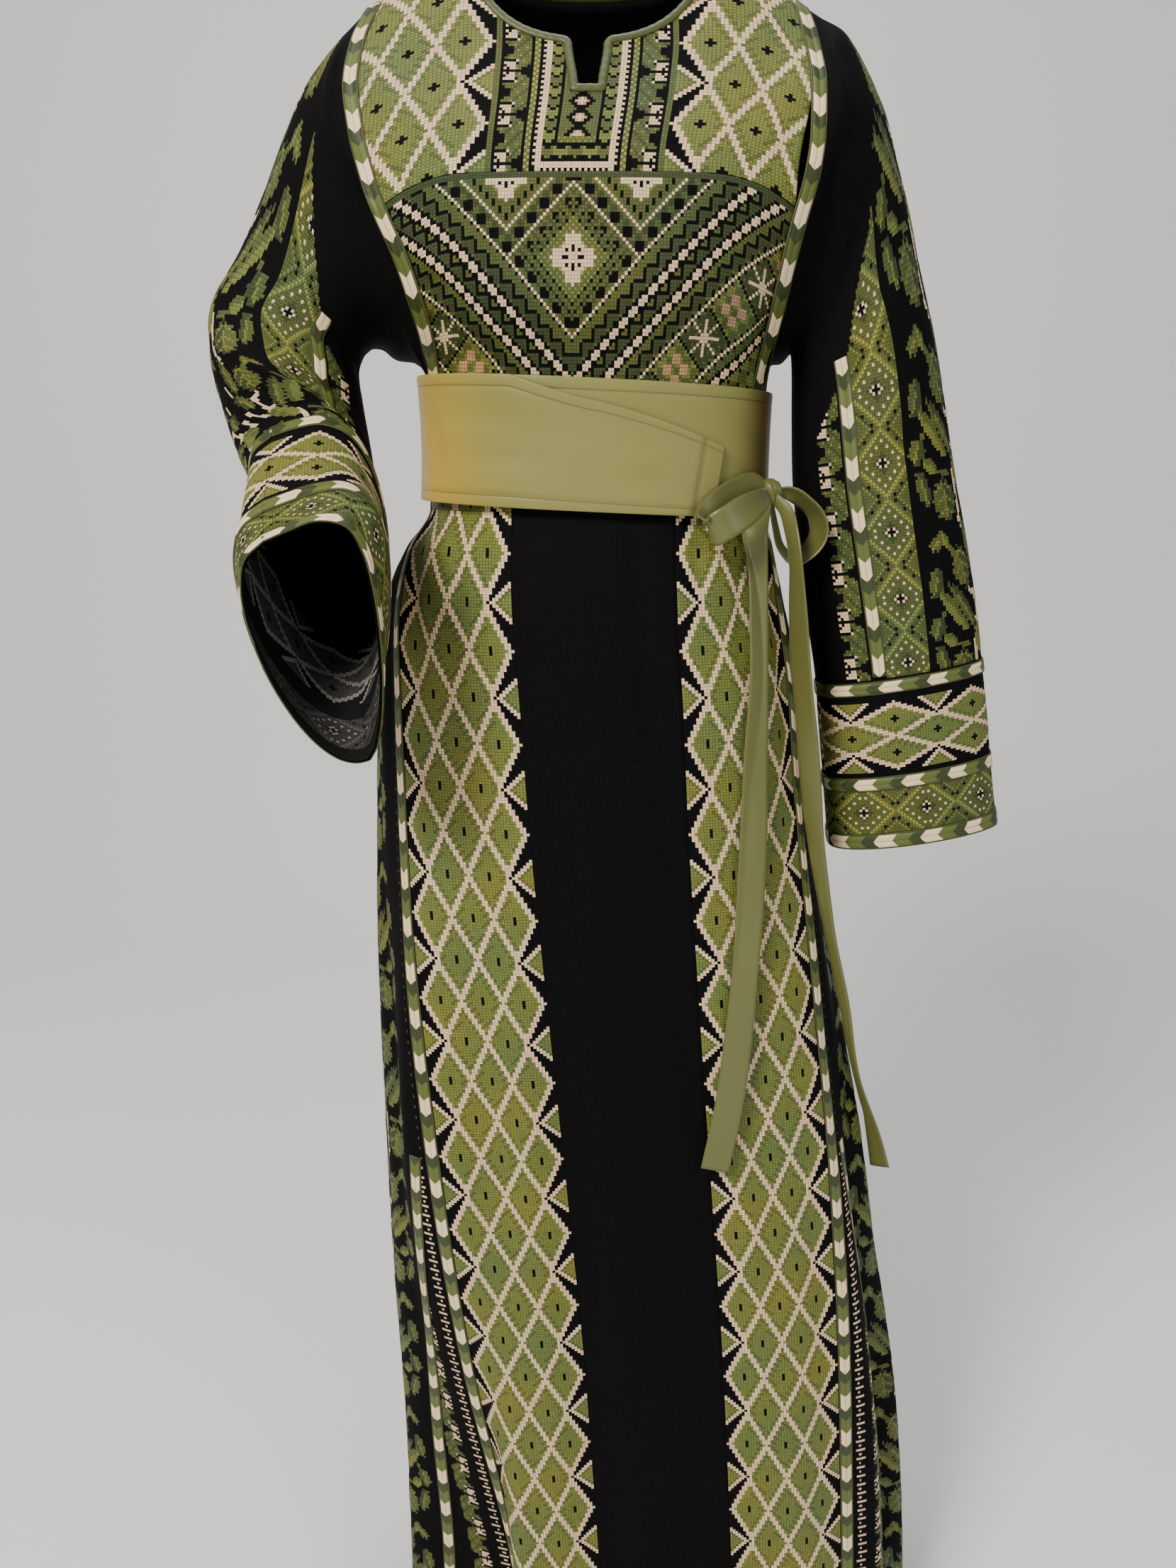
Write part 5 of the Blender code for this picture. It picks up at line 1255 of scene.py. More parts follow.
def armhole_braid(suffix, phase):
    """The braid that lies on the front panel, along the armhole's seam."""
    sign = SIDES[suffix]
    z = np.linspace(armhole_heights(sign)[1], WAIST_SEAM + 0.001, 110)
    reach = armhole_reach(sign, z)
    outer, inner = torso(sign * (reach - 0.0002), z, -1), torso(sign * (reach - BRAID_WIDTH), z, -1)
    normals = unit(np.cross(unit(outer - inner) * sign, np.gradient(outer, axis=0)))
    normals *= np.sign(-normals[len(z) // 2, 1])
    lift = normals * 0.0004
    left, right = (outer, inner) if sign < 0 else (inner, outer)
    braid("armhole_braid_" + suffix, left + lift, right + lift, normals, phase)


armhole_braid("r", 0.2)
armhole_braid("l", 0.55)


# ---------------------------------------------------------------- neck binding
def neck_line(slit):
    """The cloth's edge round the neck, from the wearer's right to the left, across and up."""
    x = np.concatenate([np.linspace(NECK_HALF, NECK_HALF * 0.9, 26),
                        np.linspace(NECK_HALF * 0.9, 0.0, 46)[1:]])
    z = neckline(x, NECK_DROP if slit else NECK_DROP_BACK)
    z[0] = 0.0
    if slit:
        kept = x >= SLIT_HALF_TOP
        down = np.linspace(z[kept][-1] - 0.001, SLIT_BOTTOM, 18)
        half = slit_half(down)
        bottom = np.linspace(half[-1], 0.0, 6)[1:]
        x = np.concatenate([x[kept], half, bottom])
        z = np.concatenate([z[kept], down, np.full(bottom.shape, SLIT_BOTTOM)])
    return np.concatenate([-x, x[-2::-1]]), np.concatenate([z, z[-2::-1]])


def binding(name, slit, side, node):
    """A rolled binding: a soft tube whose middle stands just inside the cloth's edge."""
    edge = torso(*neck_line(slit), side)
    at = np.arange(0.0, lengths_of(edge)[-1], 0.0016)
    points = along(edge, at)
    for _ in range(2):
        points[1:-1] = (points[:-2] + 2 * points[1:-1] + points[2:]) / 4
    tangents = unit(np.gradient(points, axis=0))
    outward = points * np.array([0.15, 1.0, 0.0])
    outward[:, 2] = 0.05
    outward = unit(outward - tangents * np.sum(outward * tangents, axis=1, keepdims=True))
    into = np.cross(tangents, outward)
    # at this place of the neck the opening lies above its edge
    seen = len(points) // 4 if side < 0 else len(points) // 2
    if into[seen, 2] < 0:
        into = -into
    centre = points + into * 0.0018 + outward * 0.0002
    rings = []
    for angle in np.linspace(0, 2 * math.pi, 12, endpoint=False):
        wave = (1 + 0.05 * np.sin(at * 900 + 2 * math.sin(angle)))[:, None]
        rings.append(centre + (into * BINDING_RADII[0] * math.cos(angle)
                               + outward * BINDING_RADII[1] * math.sin(angle)) * wave)
    rings = np.array(rings).transpose(1, 0, 2)
    sides, ends = tube(*rings.shape[:2])
    stand_for(add_mesh(name, rings.reshape(-1, 3), sides + ends, BINDING_SATIN), node)


binding("neck_binding_front_roll", True, -1, "neck_binding_front")
binding("neck_binding_back_roll", False, 1, "neck_binding_back")


# ---------------------------------------------------------------- sleeves
CREASES = {
    # distance from the outer line, distance up from the cuff's seam -> the same, width, depth
    ("r", True): [
        (0.030, 0.150, 0.150, 0.110, 0.010, 0.0030), (0.060, 0.120, 0.170, 0.070, 0.009, 0.0030),
        (0.020, 0.110, 0.100, 0.085, 0.007, 0.0018), (0.080, 0.200, 0.180, 0.150, 0.010, 0.0024),
        (0.110, 0.060, 0.200, 0.030, 0.010, 0.0022), (0.050, 0.060, 0.120, 0.030, 0.010, -0.0016),
    ],
    ("r", False): [
        (0.020, 0.140, 0.110, 0.100, 0.010, 0.0026), (0.050, 0.090, 0.140, 0.060, 0.010, 0.0024),
        (0.040, 0.200, 0.150, 0.170, 0.012, 0.0020),
    ],
    ("l", True): [
        (0.060, 0.330, 0.130, 0.270, 0.012, 0.0022), (0.090, 0.250, 0.150, 0.190, 0.011, 0.0022),
        (0.040, 0.200, 0.110, 0.150, 0.013, 0.0014), (0.130, 0.160, 0.165, 0.060, 0.010, 0.0024),
        (0.020, 0.110, 0.080, 0.060, 0.014, -0.0012), (0.010, 0.270, 0.060, 0.240, 0.012, 0.0016),
    ],
    ("l", False): [
        (0.030, 0.320, 0.120, 0.260, 0.012, 0.0026), (0.080, 0.200, 0.150, 0.140, 0.011, 0.0024),
        (0.030, 0.110, 0.110, 0.050, 0.012, 0.0020),
    ],
}
# Where the embroidery starts below the shoulder's fold: distance from the outer line, bare length.
FOLD_LINE = {
    "r": ((0.0, 0.022), (0.040, 0.030), (0.078, 0.062), (0.095, 0.094), (0.108, 0.124), (0.123, 0.150),
          (0.145, 0.185)),
    "l": ((0.0, 0.022), (0.025, 0.030), (0.044, 0.050), (0.066, 0.070), (0.078, 0.093), (0.089, 0.109),
          (0.098, 0.126), (0.108, 0.149), (0.123, 0.174), (0.134, 0.193), (0.160, 0.240)),
}
PATTERN_COLUMNS = 76
PATTERN_SHARE = 0.93       # the most of a sleeve's half round that the pattern takes
DIAMONDS_AT, BRAID_AT, LEAVES_AT, LEAVES_END = 35, 52, 58, 67
SLEEVE_PHASE, DIAMOND_PHASE = 4, 8
CUFF_PARTS = [
    # first and last of the cuff's lines, cells between them, pattern
    (0, 1, 5, None), (1, 3, 34, "lattice"), (3, 4, 5, None), (4, 5, 17, "diamonds"), (5, 6, 5, None),
]
CUFF_STITCH = 0.00230      # the cuffs' stitches are a little larger along the arm's round
RING_POINTS = 160


def dense_ring(coarse_row):
    """A fine curve through one coarse ring."""
    keys = lengths_of(coarse_row)
    return spline(coarse_row, keys, np.linspace(0, keys[-1], RING_POINTS))


def sleeve_pattern(c, r):
    """Front of a sleeve from its outer line inward: vine, diamonds, room for the braid, leaves."""
    codes = np.where(c >= DIAMONDS_AT, diamond_column(c - DIAMONDS_AT, r), vine(c, r))
    codes = np.where(c >= BRAID_AT, BARE, codes)
    return np.where((c >= LEAVES_AT) & (c < LEAVES_END), leaf_and_k(c - LEAVES_AT, r), codes)


class Half:
    """The front or back half of a sleeve and its cuff, read at any distance down the arm."""

    def __init__(self, suffix, front, halves, seam_row):
        self.suffix, self.front = suffix, front
        self.name = "front" if front else "back"
        self.coarse, self.other = halves[front], halves[not front]
        steps = np.linalg.norm(np.diff(self.coarse, axis=0), axis=2).mean(axis=1)
        self.keys = np.concatenate([[0.0], np.cumsum(steps)])
        self.length = self.keys[seam_row]
        self.cuff_lines = self.keys[seam_row:seam_row + 7]

    def rings(self, at):
        """Dense rings of this half at distances down the arm, and their lengths."""
        rings = np.array([dense_ring(row) for row in spline(self.coarse, self.keys, at)])
        return rings, [lengths_of(ring)[-1] for ring in rings]

    def normals(self, grid, at):
        """Normals turned away from the middle of the arm."""
        other = np.array([dense_ring(row).mean(axis=0) for row in spline(self.other, self.keys, at)])
        return normals_of(grid, (grid.mean(axis=1) + other)[:, None, :] / 2)

    def creased(self, points, normals, out, up):
        """Points with this half's creases pressed in."""
        return dents(points, normals, out, up, CREASES[(self.suffix, self.front)])

    def make_upper(self):
        """The sleeve down to the cuff's seam, with its embroidery and braid."""
        count = int(round(self.length / STITCH_ROW))
        at = np.linspace(0.0, self.length, count + 1)
        rings, totals = self.rings(at)
        pattern = np.arange(PATTERN_COLUMNS + 1) * STITCH
        scales = [min(1.0, PATTERN_SHARE * total / pattern[-1]) for total in totals]
        places = [np.concatenate([pattern * scale, np.linspace(pattern[-1] * scale, total, 17)[1:]])
                  for scale, total in zip(scales, totals)]
        grid = np.array([along(ring, place) for ring, place in zip(rings, places)])
        u = np.array(places) / STITCH / np.array(scales)[:, None]
        up = (self.length - at)[:, None]
        v = np.broadcast_to(up / STITCH_ROW, u.shape)
        normals = self.normals(grid, at)
        grid = self.creased(grid, normals, u * STITCH, v * STITCH_ROW)
        c, r = stitch_numbers(u, v)
        if self.front:
            codes = sleeve_pattern(c, SLEEVE_PHASE - r)
        else:
            codes = np.where(c < DIAMONDS_AT - 1, vine(c, SLEEVE_PHASE - r), BARE)
        fold = np.array(FOLD_LINE[self.suffix])
        bare_length = np.interp(c * STITCH, fold[:, 0], fold[:, 1])
        down = ((at[:-1] + at[1:]) / 2)[:, None]
        codes = np.where((down < bare_length) | (c >= PATTERN_COLUMNS), BARE, codes)
        node = "sleeve_%s_%s" % (self.suffix, self.name)
        cloth(node + "_cloth", grid, normals, u, v, codes, node)
        if self.front:
            self.make_braid(at, rings, scales, normals)

    def make_braid(self, at, rings, scales, normals):
        """The long braid down the front of the sleeve."""
        rows = np.flatnonzero(at >= self.keys[BRAID_START])
        normals = normals[rows, int(round(SLEEVE_BRAID_MIDDLE / STITCH))]
        lines = []
        for distance in SLEEVE_BRAID:
            edge = np.array([along(rings[k], [distance * scales[k]]) for k in rows])
            line = self.creased(edge, normals[:, None], distance, (self.length - at[rows])[:, None])
            lines.append(line[:-1, 0] + normals[:-1] * SEWN_LIFT)
        braid("sleeve_braid_" + self.suffix, *lines, normals[:-1])

    def make_cuff(self):
        """The cuff: a lattice band, a band of diamonds and three braids round it."""
        at, kinds, marks = [], [], [0]
        for first, last, cells, kind in CUFF_PARTS:
            begin, end = self.cuff_lines[first], self.cuff_lines[last]
            at += [begin + (end - begin) * k / cells for k in range(cells)]
            kinds += [(kind, k) for k in range(cells)]
            marks.append(len(at))
        at = np.array(at + [self.cuff_lines[-1]])
        rings, totals = self.rings(at)
        cells = int(round(np.mean(totals) / CUFF_STITCH))
        grid = np.array([along(ring, np.linspace(0, total, cells + 1)) for ring, total in zip(rings, totals)])
        u = np.broadcast_to(np.arange(cells + 1, dtype=float), grid.shape[:2])
        v = np.broadcast_to(np.arange(len(at), dtype=float)[:, None], grid.shape[:2])
        normals = self.normals(grid, at)
        codes = unstitched(grid)
        numbers = np.arange(cells) if self.front else -1 - np.arange(cells)
        for row, (kind, k) in enumerate(kinds):
            if kind == "lattice":
                codes[row] = lattice(np.full(cells, k - 3), numbers, 3, "plus")
            if kind == "diamonds":
                codes[row] = diamond_column(np.full(cells, k), numbers + DIAMOND_PHASE)
        node = "cuff_%s_%s" % (self.suffix, self.name)
        # only the wearer's right cuff turns its inside to the front, where the reversed work shows
        inner_codes = codes if self.suffix == "r" else None
        cloth(node + "_cloth", grid, normals, u, v, codes, node, inner_codes=inner_codes)
        for number in (1, 2, 3):
            a, b = marks[2 * number - 2], marks[2 * number - 1]
            side = normals[(a + b) // 2]
            gap = SEAM_GAP if number == 1 else 0.0
            top = grid[a] + unit(grid[b] - grid[a]) * gap + side * SEWN_LIFT
            braid("cuff_braid_%s%d_%s" % (self.suffix, number, self.name), top, grid[b] + side * SEWN_LIFT,
                  side, 0.3 * number)


def make_sleeve(suffix, rows, cuff_rows):
    """A sleeve and its cuff, front and back."""
    halves, seam_row = sleeve_halves(suffix, rows, cuff_rows)
    for front in halves:
        half = Half(suffix, front, halves, seam_row)
        half.make_upper()
        half.make_cuff()


make_sleeve("r", SLEEVE_R, CUFF_R)
make_sleeve("l", SLEEVE_L, CUFF_L)


# ---------------------------------------------------------------- skirt
SKIRT_CREASES = [
    # distance round from the front centre, height -> the same, width, depth
    (-0.150, -0.400, -0.140, -0.520, 0.008, 0.0030), (-0.105, -0.400, -0.100, -0.500, 0.007, 0.0020),
    (-0.048, -0.400, -0.052, -0.560, 0.008, 0.0022), (0.030, -0.400, 0.036, -0.600, 0.010, 0.0024),
    (0.075, -0.400, 0.078, -0.480, 0.007, 0.0018), (0.118, -0.400, 0.112, -0.540, 0.008, 0.0026),
    (0.152, -0.400, 0.160, -0.620, 0.009, 0.0026), (-0.178, -0.410, -0.186, -0.620, 0.010, 0.0030),
    (-0.020, -0.620, -0.028, -1.100, 0.016, -0.0030), (0.022, -0.700, 0.030, -1.350, 0.018, 0.0034),
    (-0.052, -0.900, -0.040, -1.500, 0.016, 0.0036), (0.100, -0.640, 0.108, -1.050, 0.018, 0.0020),
    (-0.110, -0.600, -0.118, -0.980, 0.018, 0.0022), (-0.125, -1.150, -0.135, -1.500, 0.016, -0.0030),
    (0.128, -1.000, 0.122, -1.480, 0.018, -0.0030), (0.205, -0.560, 0.215, -1.000, 0.014, 0.0036),
    (-0.215, -0.620, -0.225, -1.000, 0.014, 0.0036), (0.250, -0.700, 0.262, -1.350, 0.016, 0.0040),
    (-0.255, -0.650, -0.270, -1.300, 0.016, 0.0040), (0.330, -0.450, 0.345, -1.100, 0.020, 0.0050),
    (-0.340, -0.450, -0.350, -1.050, 0.020, 0.0050), (0.430, -0.420, 0.440, -0.900, 0.018, 0.0050),
    (0.500, -0.700, 0.505, -1.400, 0.022, 0.0050), (0.560, -0.430, 0.570, -1.200, 0.018, 0.0045),
]
SKIRT_ROWS = 511


def skirt_centres(heights):
    """The middle of the skirt at each height."""
    return np.array([[CENTRE(z), 0.0, z] for z in heights])


def skirt_panel(columns_at, step):
    """Points, normals, distances and heights of a panel whose column distances follow the height."""
    heights = np.linspace(WAIST_SEAM, HEM, SKIRT_ROWS // step + 1)
    distances = np.array([columns_at(z) for z in heights])
    grid = np.array([skirt_row(row, z) for row, z in zip(distances, heights)])
    normals = normals_of(grid, skirt_centres(heights)[:, None, :])
    z = np.broadcast_to(heights[:, None], distances.shape)
    return dents(grid, normals, distances, z, SKIRT_CREASES), normals, distances, z


def make_strip(suffix):
    """One side of the skirt's front panel: its lattice strip, out to the seam under the braid."""
    first = BLACK_HALF + 0.0005
    places = np.concatenate([[BLACK_HALF], first + np.arange(44) * SKIRT_STITCH, [0.170, FRONT_HALF]])
    grid, normals, distances, z = skirt_panel(lambda height: SIDES[suffix] * places, 1)
    u, v = (np.abs(distances) - first) / SKIRT_STITCH, (SKIRT_FIRST_NARROW - z) / STITCH_ROW
    c, r = stitch_numbers(u, v)
    codes = np.where((c >= 0) & (c <= 42), lattice(c, r, 4, "dash"), BARE)
    cloth("skirt_strip_%s_cloth" % suffix, grid, normals, u, v, codes, "skirt_front")


def make_middle():
    """The black middle of the skirt's front panel."""
    places = np.linspace(-BLACK_HALF, BLACK_HALF, 41)
    grid, normals, distances, z = skirt_panel(lambda height: places, 3)
    u, v = distances / SKIRT_STITCH, -z / STITCH_ROW
    cloth("skirt_middle_cloth", grid, normals, u, v, unstitched(grid), "skirt_front", inner_step=2)


VINE_GAP = 0.006          # bare cloth between a braid and the gore's vine
VINE_FROM, VINE_CELLS = 60, 34
COMB_SHARES = np.linspace(0.0, 1.0, 33)


def make_gore(suffix):
    """A side gore: comb and leaves beside the front's braid, its own braid's ground, then the vine."""
    sign = SIDES[suffix]
    side = 0 if sign < 0 else 1

    def columns(z):
        start = second_braid(z)
        edge = start + BRAID_WIDTH
        stitches = edge + VINE_GAP + np.arange(VINE_CELLS + 1) * STITCH
        rest = np.linspace(stitches[-1], gore_reach(z)[side] - FRONT_HALF, 15)[1:]
        ground = [start + BRAID_WIDTH / 2, edge, edge + VINE_GAP / 2]
        return sign * (FRONT_HALF + np.concatenate([COMB_SHARES * start, ground, stitches, rest]))

    grid, normals, distances, z = skirt_panel(columns, 1)
    out, start = np.abs(distances) - FRONT_HALF, second_braid(z)
    past = VINE_FROM + (out - start - BRAID_WIDTH - VINE_GAP) / STITCH
    u, v = np.where(out <= start + 1e-6, out / STITCH, past), -z / STITCH_ROW
    c, r = stitch_numbers(u, v)
    leaves = vine(VINE_CELLS - 1 - (c - VINE_FROM), r + 12)
    codes = np.where((c >= VINE_FROM) & (c < VINE_FROM + VINE_CELLS), leaves, BARE)
    codes[:, :len(COMB_SHARES) - 1] = comb(c, r)[:, :len(COMB_SHARES) - 1]
    cloth("skirt_side_%s_cloth" % suffix, grid, normals, u, v, codes, "skirt_side_" + suffix)


def make_skirt_back():
    """The plain back of the skirt, cut in two halves at its centre."""
    def columns(z):
        _, distances = skirt_ring(z)
        right, left = gore_reach(z)
        return np.linspace(left, distances[-1] - distances[0] - right, 101)

    grid, normals, distances, z = skirt_panel(columns, 4)
    u, v = distances / STITCH, -z / STITCH_ROW
    middle = grid.shape[1] // 2
    for suffix, kept in (("l", slice(0, middle + 1)), ("r", slice(middle, None))):
        parts = [a[:, kept] for a in (grid, normals, u, v)]
        cloth("skirt_back_%s_cloth" % suffix, *parts, unstitched(parts[0]), "skirt_back_" + suffix,
              inner_step=2)


def skirt_braid(node, sign, start_at, top, phase):
    """A braid down the skirt whose inner line stands at start_at(z) from the front centre."""
    heights = np.linspace(top, HEM, int((top - HEM) / 0.0032))
    extras = (0.0, BRAID_WIDTH / 2, BRAID_WIDTH)
    out = [np.array([[sign * (start_at(z) + extra)] for z in heights]) for extra in extras]
    near, centre, far = (np.array([skirt_row(row, z) for row, z in zip(line, heights)]) for line in out)
    normals = unit(np.cross(unit(far - near)[:, 0], np.gradient(centre[:, 0], axis=0)))
    away = centre[:, 0] - skirt_centres(heights)
    normals *= np.sign(np.sum(normals * away, axis=1, keepdims=True))
    bent = [dents(line, normals[:, None], distances, heights[:, None], SKIRT_CREASES)[:, 0]
            + normals * SEWN_LIFT for line, distances in ((near, out[0]), (far, out[2]))]
    braid(node, *bent, normals, phase)


for suffix in SIDES:
    make_strip(suffix)
make_middle()
for suffix in SIDES:
    make_gore(suffix)
make_skirt_back()
for suffix, sign, phase, side_phase in (("r", -1, 0.1, 0.4), ("l", 1, 0.6, 0.0)):
    skirt_braid("skirt_braid_" + suffix, sign, lambda z: FRONT_HALF - BRAID_WIDTH, SKIRT_BRAID_TOP, phase)
    skirt_braid("side_braid_" + suffix, sign, lambda z: FRONT_HALF + second_braid(z), GORE_BRAID_TOP,
                side_phase)


# ---------------------------------------------------------------- belt
OVER_START, OVER_TIP, OVER_SLOPE_START = -86.0, 38.5, -21.0    # degrees round from the front centre
OVER_FALL, OVER_SLANT, OVER_AIR = 0.46, 4.5, 0.0012
BELT_RADIUS = 0.135
BELT_SHARES = np.unique(np.concatenate([np.linspace(0, 1, 15),
                                        [0.008, 0.02, 0.078, 0.086, 0.094],
                                        [0.906, 0.914, 0.922, 0.98, 0.992]]))
BELT_LINE, BELT_LINE_WIDTH = 0.086, 0.006    # the stitched lines, as shares of the belt's height
# the second belt colour is a painted highlight, a warm reflection on the satin
BELT_OLIVE, BELT_PAINTED_HIGHLIGHT = np.array([0.205, 0.196, 0.050]), np.array([0.52, 0.34, 0.050])
BELT_CREASES = [
    # distance round from the front centre, distance down the belt -> the same, width, depth
    (-0.110, 0.022, -0.030, 0.034, 0.006, 0.0007), (-0.095, 0.060, -0.020, 0.052, 0.007, 0.0008),
    (-0.060, 0.010, 0.010, 0.020, 0.005, -0.0005), (0.005, 0.070, 0.050, 0.056, 0.006, 0.0007),
    (-0.130, 0.045, -0.090, 0.040, 0.006, -0.0008), (-0.020, 0.040, 0.040, 0.044, 0.008, -0.0006),
    (0.100, 0.020, 0.150, 0.040, 0.006, 0.0009), (0.105, 0.050, 0.140, 0.072, 0.005, 0.0008),
    (-0.150, 0.015, -0.120, 0.070, 0.007, 0.0008),
]


def belt_points(degrees, share, extra):
    """Points of the belt at headings round it and shares down it, set off by extra."""
    z = BELT_TOP + (BELT_BOTTOM - BELT_TOP) * share
    x, y = oval(np.sin(np.radians(degrees)), np.cos(np.radians(degrees)), z, extra)
    x = CENTRE(z) + x
    return np.stack([x, y, z + BELT_TILT * x], axis=-1)


def ridge(value, centre, width):
    """A smooth bump of height one."""
    return np.exp(-((value - centre) / width) ** 2)


def belt_layer(node, first, last, count, extra, over=False):
    """One layer of the belt, with its two lines of stitching and its soft edges."""
    degrees, share = np.meshgrid(np.linspace(first, last, count), BELT_SHARES)
    top, lean = np.zeros(degrees.shape), 0.0
    if over:
        top = OVER_FALL * np.maximum(degrees - OVER_SLOPE_START, 0.0) / (OVER_TIP - OVER_SLOPE_START)
        lean = OVER_SLANT * share * (degrees - first) / (last - first)
    grid = belt_points(degrees - lean, top + (1 - top) * share, extra)
    normals = normals_of(grid, np.array([CENTRE(BELT_TOP), 0.0, 0.0]) + grid * np.array([0.0, 0.0, 1.0]))
    down = share * (BELT_TOP - BELT_BOTTOM)
    grid = dents(grid, normals, np.radians(degrees) * BELT_RADIUS, down, BELT_CREASES)
    groove = ridge(share, BELT_LINE, BELT_LINE_WIDTH) + ridge(share, 1 - BELT_LINE, BELT_LINE_WIDTH)
    soft = ridge(share, 0.0, 0.012) + ridge(share, 1.0, 0.012)
    if over:
        groove = np.maximum(groove, ridge((last - degrees) / (last - first), 0.066, BELT_LINE_WIDTH))
    grid = grid - normals * (0.00045 * groove + 0.0005 * soft)[..., None]
    # a painted highlight: the satin is painted golden towards the wearer's right, more so lower down, as a
    # warm reflection
    painted_highlight = ridge(degrees, -62.0, 26.0) * (0.55 + 0.45 * share)
    tint_and_painted_light = BELT_OLIVE + (BELT_PAINTED_HIGHLIGHT - BELT_OLIVE) * painted_highlight[..., None]
    # painted shade: the satin is painted duller and bluer where it turns away at the left
    painted_shade = 0.78 * ease(degrees, 42.0, 66.0) * (1 - ease(degrees, 100.0, 140.0))
    tint_and_painted_light = tint_and_painted_light * (1 - painted_shade[..., None] * np.array([0.85, 1.0, 1.15]))
    # painted shade in the two stitched grooves and the over layer's end line
    tint_and_painted_light = tint_and_painted_light * (1 - 0.45 * np.clip(groove, 0, 1))[..., None]
    slab(node + "_satin", grid, normals, BELT, BELT_SATIN, node, tint_and_painted_light=tint_and_painted_light)


belt_layer("belt_under", -90.0, 90.0, 120, BELT_STANDOFF + BELT)
belt_layer("belt_back", 90.0, 270.0, 90, BELT_STANDOFF + BELT)
belt_layer("belt_over", OVER_START, OVER_TIP, 130, BELT_STANDOFF + 2 * BELT + OVER_AIR, over=True)


# ---------------------------------------------------------------- tie
def knot_centre():
    """Middle of the knot, just clear of the belt's under layer."""
    before, point, after = (belt_points(np.array(KNOT_ANGLE + k), np.array(KNOT_SHARE), BELT_STANDOFF + BELT)
                            for k in (-1, 0, 1))
    way = after - before
    return point + unit(np.array([way[1], -way[0], 0.0])) * (KNOT_RADII[0] + SEAM)


def clear_of_body(point):
    """A ribbon's point moved out where it would pass through the dress or belt."""
    z = point[2]
    points, _ = skirt_ring(min(z, WAIST_SEAM))
    offsets = points[:, :2] - np.array([CENTRE(z), 0.0])
    here = point[:2] - np.array([CENTRE(z), 0.0])
    headings = np.arctan2(offsets[:, 0], -offsets[:, 1])
    surface = np.interp(math.atan2(here[0], -here[1]), headings, np.hypot(offsets[:, 0], offsets[:, 1]))
    on_belt = z > BELT_BOTTOM + BELT_TILT * point[0] - RIBBON_CLEAR
    layers = BELT_STANDOFF + 2 * BELT + OVER_AIR if on_belt else 0.0010
    reach = max(math.hypot(*here), surface + layers + SEAM + RIBBON_CLEAR)
    moved = unit(here) * reach
    return np.array([CENTRE(z) + moved[0], moved[1], z])


def ribbon(node, table, loop, cup, sway):
    """A satin ribbon along a centre line, a little cupped across and uneven along its length."""
    rows = np.array(table)
    centre = knot_centre()
    ends = []
    for k in ((0, -1) if loop else (0,)):
        way = unit(rows[k, :3] - centre)
        place = centre + way * 0.5 / np.linalg.norm(way / np.array(KNOT_RADII))
        ends.append(np.concatenate([place, rows[k, 3:5], [RIBBON_PINCH]]))
    rows = np.vstack([ends[0], rows] + ends[1:])
    keys = lengths_of(rows[:, :3])
    length = keys[-1]
    fine = spline(rows, keys, np.linspace(0, length, int(length / 0.0035)))
    steps = unit(np.gradient(fine[:, :3], axis=0))
    turn, rise = np.radians(fine[:, 3]), np.radians(fine[:, 4])
    wide = np.stack([np.cos(rise) * np.cos(turn), np.cos(rise) * np.sin(turn), np.sin(rise)], axis=1)
    wide = unit(wide - steps * np.sum(wide * steps, axis=1, keepdims=True))
    face = unit(np.cross(wide, steps))
    if np.mean(face[:, 1]) > 0 and not loop:
        face = -face
    across = np.linspace(-1, 1, 9)
    places = np.linspace(0, 1, len(fine))[:, None]
    ripple = sway * np.sin(places * length * 55) * np.sin(places * math.pi)
    bow = cup * (1 - across**2) * (0.4 + 0.6 * np.sin(places * 9 + 1) ** 2)
    rim = 0.0003 * (np.abs(across) > 0.8)
    grid = fine[:, None, :3] + wide[:, None] * (fine[:, 5:6] * across)[..., None]
    grid = grid + face[:, None] * (bow + ripple * across + rim)[..., None]
    if not loop:
        for i in range(3, len(grid)):
            for j in range(len(across)):
                moved = clear_of_body(grid[i, j])
                if np.linalg.norm(moved - grid[i, j]) > 1e-5:
                    grid[i, j] = moved
    normals = unit(np.cross(np.gradient(grid, axis=1), np.gradient(grid, axis=0)))
    slab(node + "_satin", grid, normals, RIBBON, TIE_SATIN, node)


ribbon("tie_tail_inner", TAIL_INNER, False, 0.0012, 0.0006)
ribbon("tie_tail_outer", TAIL_OUTER, False, 0.0012, 0.0006)
ribbon("tie_loop_inner", LOOP_INNER, True, 0.0014, 0.0004)
ribbon("tie_loop_outer", LOOP_OUTER, True, 0.0014, 0.0004)


def make_knot():
    """The knot: a soft lump with the folds of the ribbon running over it."""
    polar, angle = np.meshgrid(np.linspace(0, math.pi, 29), 2 * math.pi * np.arange(40) / 40, indexing="ij")
    x, y, z = np.sin(polar) * np.cos(angle), np.sin(polar) * np.sin(angle), np.cos(polar)
    fold = 0.10 * np.sin(7.0 * (x + 0.45 * z) + 1.0) * np.sin(polar) + 0.05 * np.sin(15 * x + 4 * z)
    size = (1.02 + fold * np.sin(polar))[..., None]
    points = knot_centre() + np.stack([x, y, z], axis=-1) * np.array(KNOT_RADII) * size
    sides, _ = tube(*polar.shape)
    stand_for(add_mesh("tie_knot_satin", points.reshape(-1, 3), sides, TIE_SATIN), "tie_knot")


make_knot()


# ---------------------------------------------------------------- floor, light and camera
FLOOR, FLOOR_FRONT, FLOOR_BACK = -1.512, -3.0, 1.6
COVE, BACKDROP_TOP = 1.2, 3.5


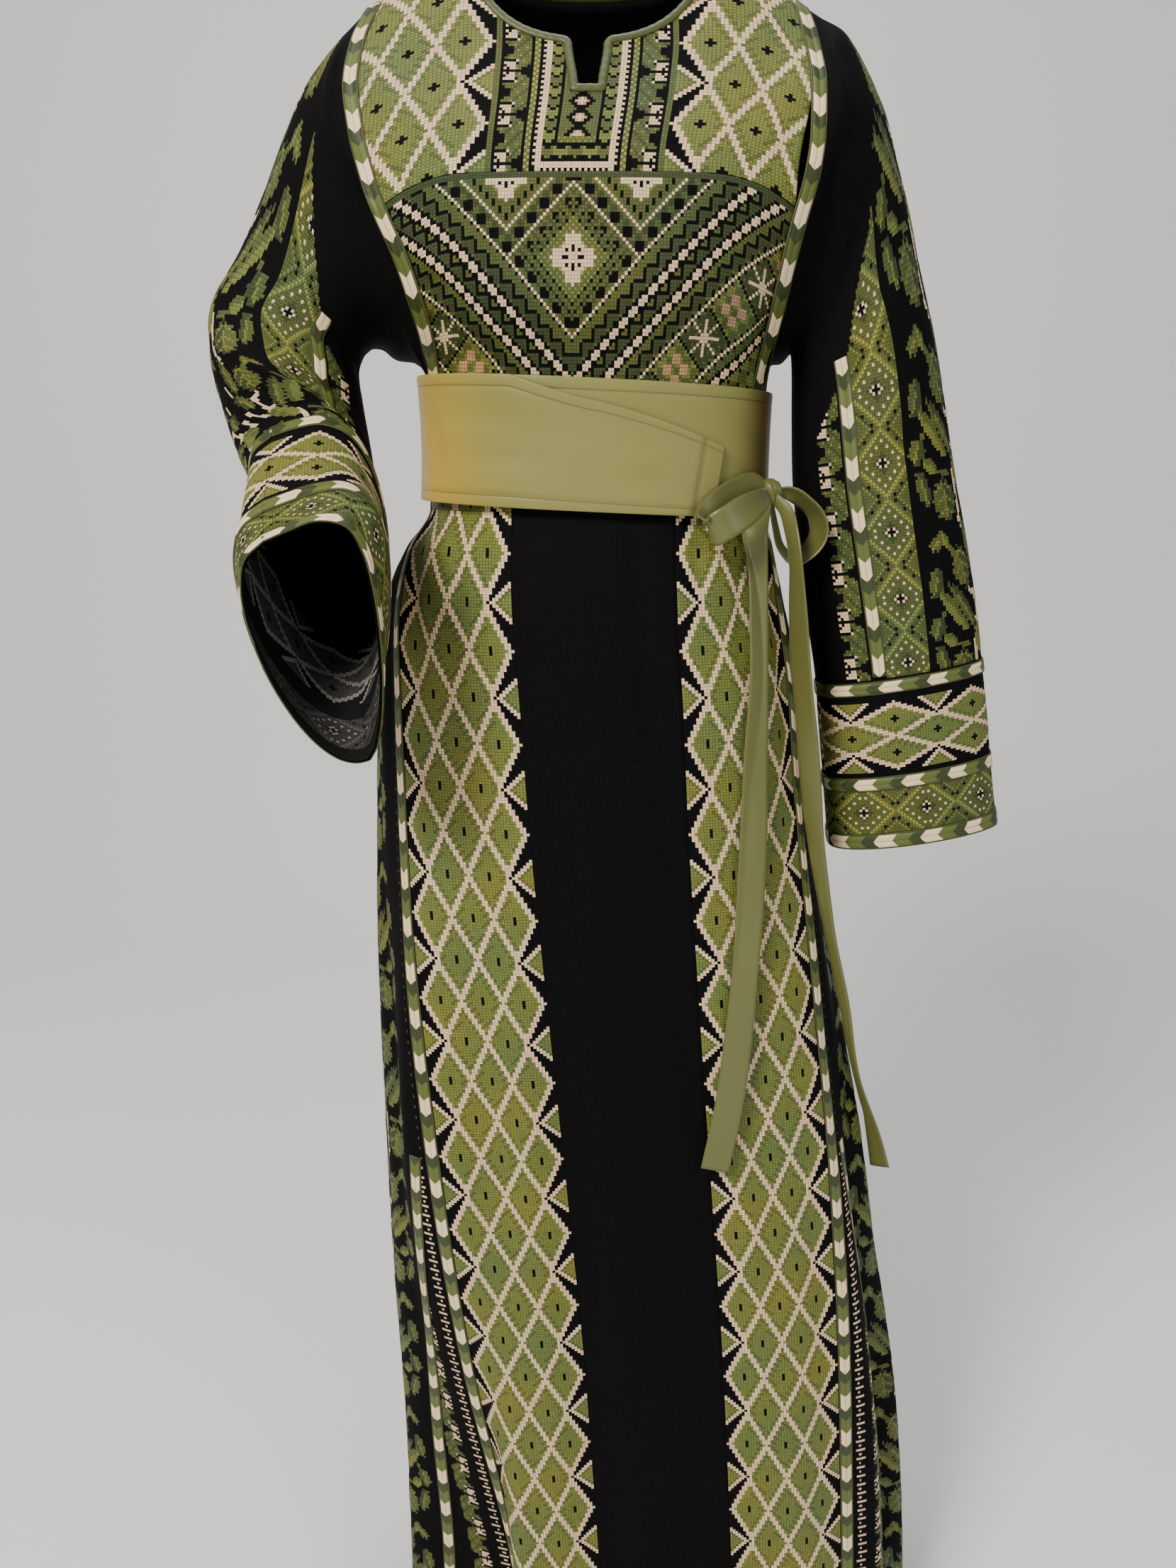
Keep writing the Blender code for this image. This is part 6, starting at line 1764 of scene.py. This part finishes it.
def make_studio():
    """A pale floor that curves up into a backdrop."""
    profile = [(FLOOR_FRONT, FLOOR), (FLOOR_BACK, FLOOR)]
    for k in range(1, 13):
        angle = math.radians(90 * k / 12)
        profile.append((FLOOR_BACK + COVE * math.sin(angle), FLOOR + COVE * (1 - math.cos(angle))))
    profile.append((FLOOR_BACK + COVE, BACKDROP_TOP))
    points = np.array([[(-5.0, y, z), (5.0, y, z)] for y, z in profile])
    index = np.arange(2 * len(profile)).reshape(-1, 2)
    look = Look("studio_pale")
    look.plug(look.surface, {"Base Color": (0.86, 0.86, 0.86, 1.0), "Roughness": 0.9})
    add_mesh("studio", points.reshape(-1, 3), quads(index[:, ::-1]), look.material)


def area_light(name, place, aim, size, power, colour=(1.0, 1.0, 1.0)):
    """A round soft lamp turned to a point."""
    light = bpy.data.lights.new(name, "AREA")
    light.shape, light.size, light.energy, light.color = "DISK", size, power, colour
    thing = bpy.data.objects.new(name, light)
    bpy.context.scene.collection.objects.link(thing)
    thing.location = place
    x, y, z = np.array(aim) - np.array(place)
    thing.rotation_euler = (math.atan2(math.hypot(x, y), -z), 0.0, math.atan2(y, x) - math.pi / 2)


make_studio()
area_light("key", (-1.4, -2.2, 1.5), (0.0, 0.0, -0.4), 1.0, 125.0, (1.0, 0.95, 0.87))
area_light("fill", (1.8, -2.2, 0.5), (0.0, 0.0, -0.7), 1.6, 18.0, (0.96, 0.98, 1.0))
area_light("low", (-0.3, -2.6, -0.7), (0.0, 0.0, -1.1), 1.4, 6.0)
area_light("top", (0.0, 0.6, 2.4), (0.0, 0.0, -0.3), 1.8, 36.0)
world = bpy.data.worlds.new("studio_air")
world.use_nodes = True
world.node_tree.nodes["Background"].inputs["Color"].default_value = (1.0, 1.0, 1.0, 1.0)
world.node_tree.nodes["Background"].inputs["Strength"].default_value = 0.36
bpy.context.scene.world = world

camera = bpy.data.cameras.new("camera")
camera.sensor_fit = "VERTICAL"
camera.sensor_height = 36.0
camera.lens = 27.03
camera.clip_start = 0.05
viewer = bpy.data.objects.new("camera", camera)
viewer.location = (0.0, -0.98, -0.361)
viewer.rotation_euler = (math.radians(90.0 - 15.5), 0.0, 0.0)
bpy.context.scene.collection.objects.link(viewer)
bpy.context.scene.camera = viewer
